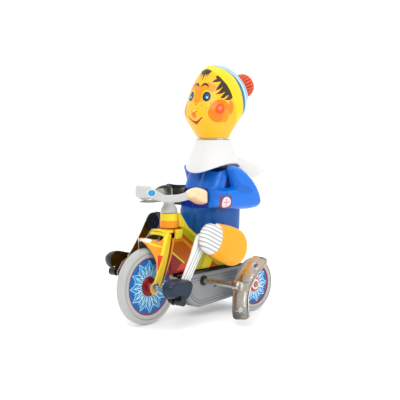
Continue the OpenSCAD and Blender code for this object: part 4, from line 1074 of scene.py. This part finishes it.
# ---- Collar and scarf tail --------------------------------------------------------------------
# White cloth: a plain cone round the neck that spreads over the shoulders, and a tail that
# flies out behind. Both have a faint weave and soft, uneven folds.
def cloth_material():
    mat = principled("white_cloth", lin(229, 228, 226), 0.85)
    nt = mat.node_tree
    sh = nt.nodes["Principled BSDF"]
    sh.inputs["Sheen Weight"].default_value = 0.25
    sh.inputs["Subsurface Weight"].default_value = 0.05
    kinds = ("ShaderNodeTexCoord", "ShaderNodeTexNoise", "ShaderNodeBump")
    co, weave, bump = (nt.nodes.new(kind) for kind in kinds)
    weave.inputs["Scale"].default_value = 1900
    weave.inputs["Detail"].default_value = 2
    bump.inputs["Strength"].default_value = 0.18
    bump.inputs["Distance"].default_value = 0.0002
    nt.links.new(co.outputs["Object"], weave.inputs["Vector"])
    nt.links.new(weave.outputs["Fac"], bump.inputs["Height"])
    nt.links.new(bump.outputs["Normal"], sh.inputs["Normal"])
    return mat


CLOTH = cloth_material()


def collar():
    n, rows = 192, 36
    verts = []
    axis_y, saddle_r, saddle_z = 24.6, 35.6, 101.8
    for i in range(rows + 1):
        for j in range(n):
            a = 2 * pi * j / n
            t = i / rows
            s = sin(a)
            low = 96.0
            for _ in range(6):
                r_low = 11.8 + (117.6 - low) * 0.382
                low = saddle_z - saddle_r + sqrt(max(0, saddle_r**2 - (r_low * s) ** 2)) + 0.2
            z = 117.7 + (low - 117.7) * t
            r = 11.6 + (117.6 - z) * 0.382 + 0.32 * t * sin(5 * a
                + 0.6) + 0.2 * t * sin(9 * a) + 0.25 * sin(pi * t)
            verts.append((r * cos(a), axis_y + r * s, z))
    faces = [(a, d, c, b) for a, b, c, d in grid_faces(rows, n)]
    obj = make_piece("collar_cloth", verts, faces, [CLOTH], "chassis", ["collar"],
        thickness=0.0005)


def scarf_tail():
    rows, cols = 30, 14
    top = [(41.4, 105.4), (47.4, 104.0), (62.0, 99.8), (77.0, 93.6)]
    low = [(43.6, 98.6), (49.0, 95.6), (62.4, 89.4), (77.0, 93.2)]
    verts = []
    for i in range(rows + 1):
        t = i / rows * 3
        k = min(int(t), 2)
        f = t - k
        a = np.array(top[k]) * (1 - f) + np.array(top[k + 1]) * f
        b = np.array(low[k]) * (1 - f) + np.array(low[k + 1]) * f
        for j in range(cols + 1):
            q = a + (b - a) * j / cols
            x = 4.2 + 0.5 * sin(i * 0.33) * i / rows + 0.5 * sin(j / cols * pi)
            verts.append((x, q[0], q[1]))
    obj = make_piece("scarf_tail_cloth", verts, grid_faces(rows, cols + 1, False), [CLOTH], "chassis",
        ["scarf_tail"], thickness=0.0004)


collar()
scarf_tail()


# ---- Floor, lights and camera -----------------------------------------------------------------
# A pale floor and a soft white studio, seen from the toy's front left, a little above it.
def studio():
    floor_mat = principled("studio_floor", (0.93, 0.93, 0.93), 0.62)
    shader = floor_mat.node_tree.nodes["Principled BSDF"]
    shader.inputs["Emission Color"].default_value = (1, 1, 1, 1)
    shader.inputs["Emission Strength"].default_value = 0.16
    me = bpy.data.meshes.new("studio_floor")
    size = 9.0
    me.from_pydata([(-size, -size, 0), (size, -size, 0), (size, size, 0), (-size, size, 0)], [],
        [(0, 1, 2, 3)])
    me.materials.append(floor_mat)
    floor = in_scene("studio_floor", me)
    world = bpy.data.worlds.new("studio_world")
    bpy.context.scene.world = world
    world.use_nodes = True
    nodes, links = world.node_tree.nodes, world.node_tree.links
    nodes["Background"].inputs["Color"].default_value = (1, 1, 1, 1)
    kinds = ("ShaderNodeTexCoord", "ShaderNodeVectorMath", "ShaderNodeMapRange")
    co, dot, rng = (nodes.new(kind) for kind in kinds)
    dot.operation = "DOT_PRODUCT"
    dot.inputs[1].default_value = tuple(Vector((-0.55, 0.6, 0.58)).normalized())
    rng.interpolation_type = "SMOOTHSTEP"
    for socket, value in (("From Min", -1), ("From Max", 0.8), ("To Min", 0.36), ("To Max", 1.12)):
        rng.inputs[socket].default_value = value
    links.new(co.outputs["Generated"], dot.inputs[0])
    links.new(dot.outputs["Value"], rng.inputs["Value"])
    links.new(rng.outputs["Result"], nodes["Background"].inputs["Strength"])
    bpy.context.scene.view_settings.view_transform = "Standard"
    target = Vector((0, 0.005, 0.085))
    lights = [("key_light", (0.30, -0.62, 0.70), 0.50, 2.9), ("fill_light", (0.80, 0.10, 0.35), 0.50, 1.1),
        ("top_light", (-0.1, 0.1, 0.9), 0.7, 2.0)]
    for name, at, side, power in lights:
        data = bpy.data.lights.new(name, "AREA")
        data.shape, data.size, data.energy = "SQUARE", side, power
        obj = in_scene(name, data)
        obj.location = at
        obj.rotation_euler = (target - Vector(at)).to_track_quat("-Z", "Y").to_euler()


def camera():
    data = bpy.data.cameras.new("camera")
    data.lens, data.sensor_width = 96.0, 36.0
    data.clip_start, data.clip_end = 0.02, 30.0
    obj = in_scene("camera", data)
    obj.location = (0.4848, -0.5194, 0.1517)
    yaw, down = radians(42.42), radians(5.93)
    look = Vector((-sin(yaw) * cos(down), cos(yaw) * cos(down), -sin(down)))
    obj.rotation_euler = look.to_track_quat("-Z", "Y").to_euler()
    bpy.context.scene.camera = obj


studio()
camera()
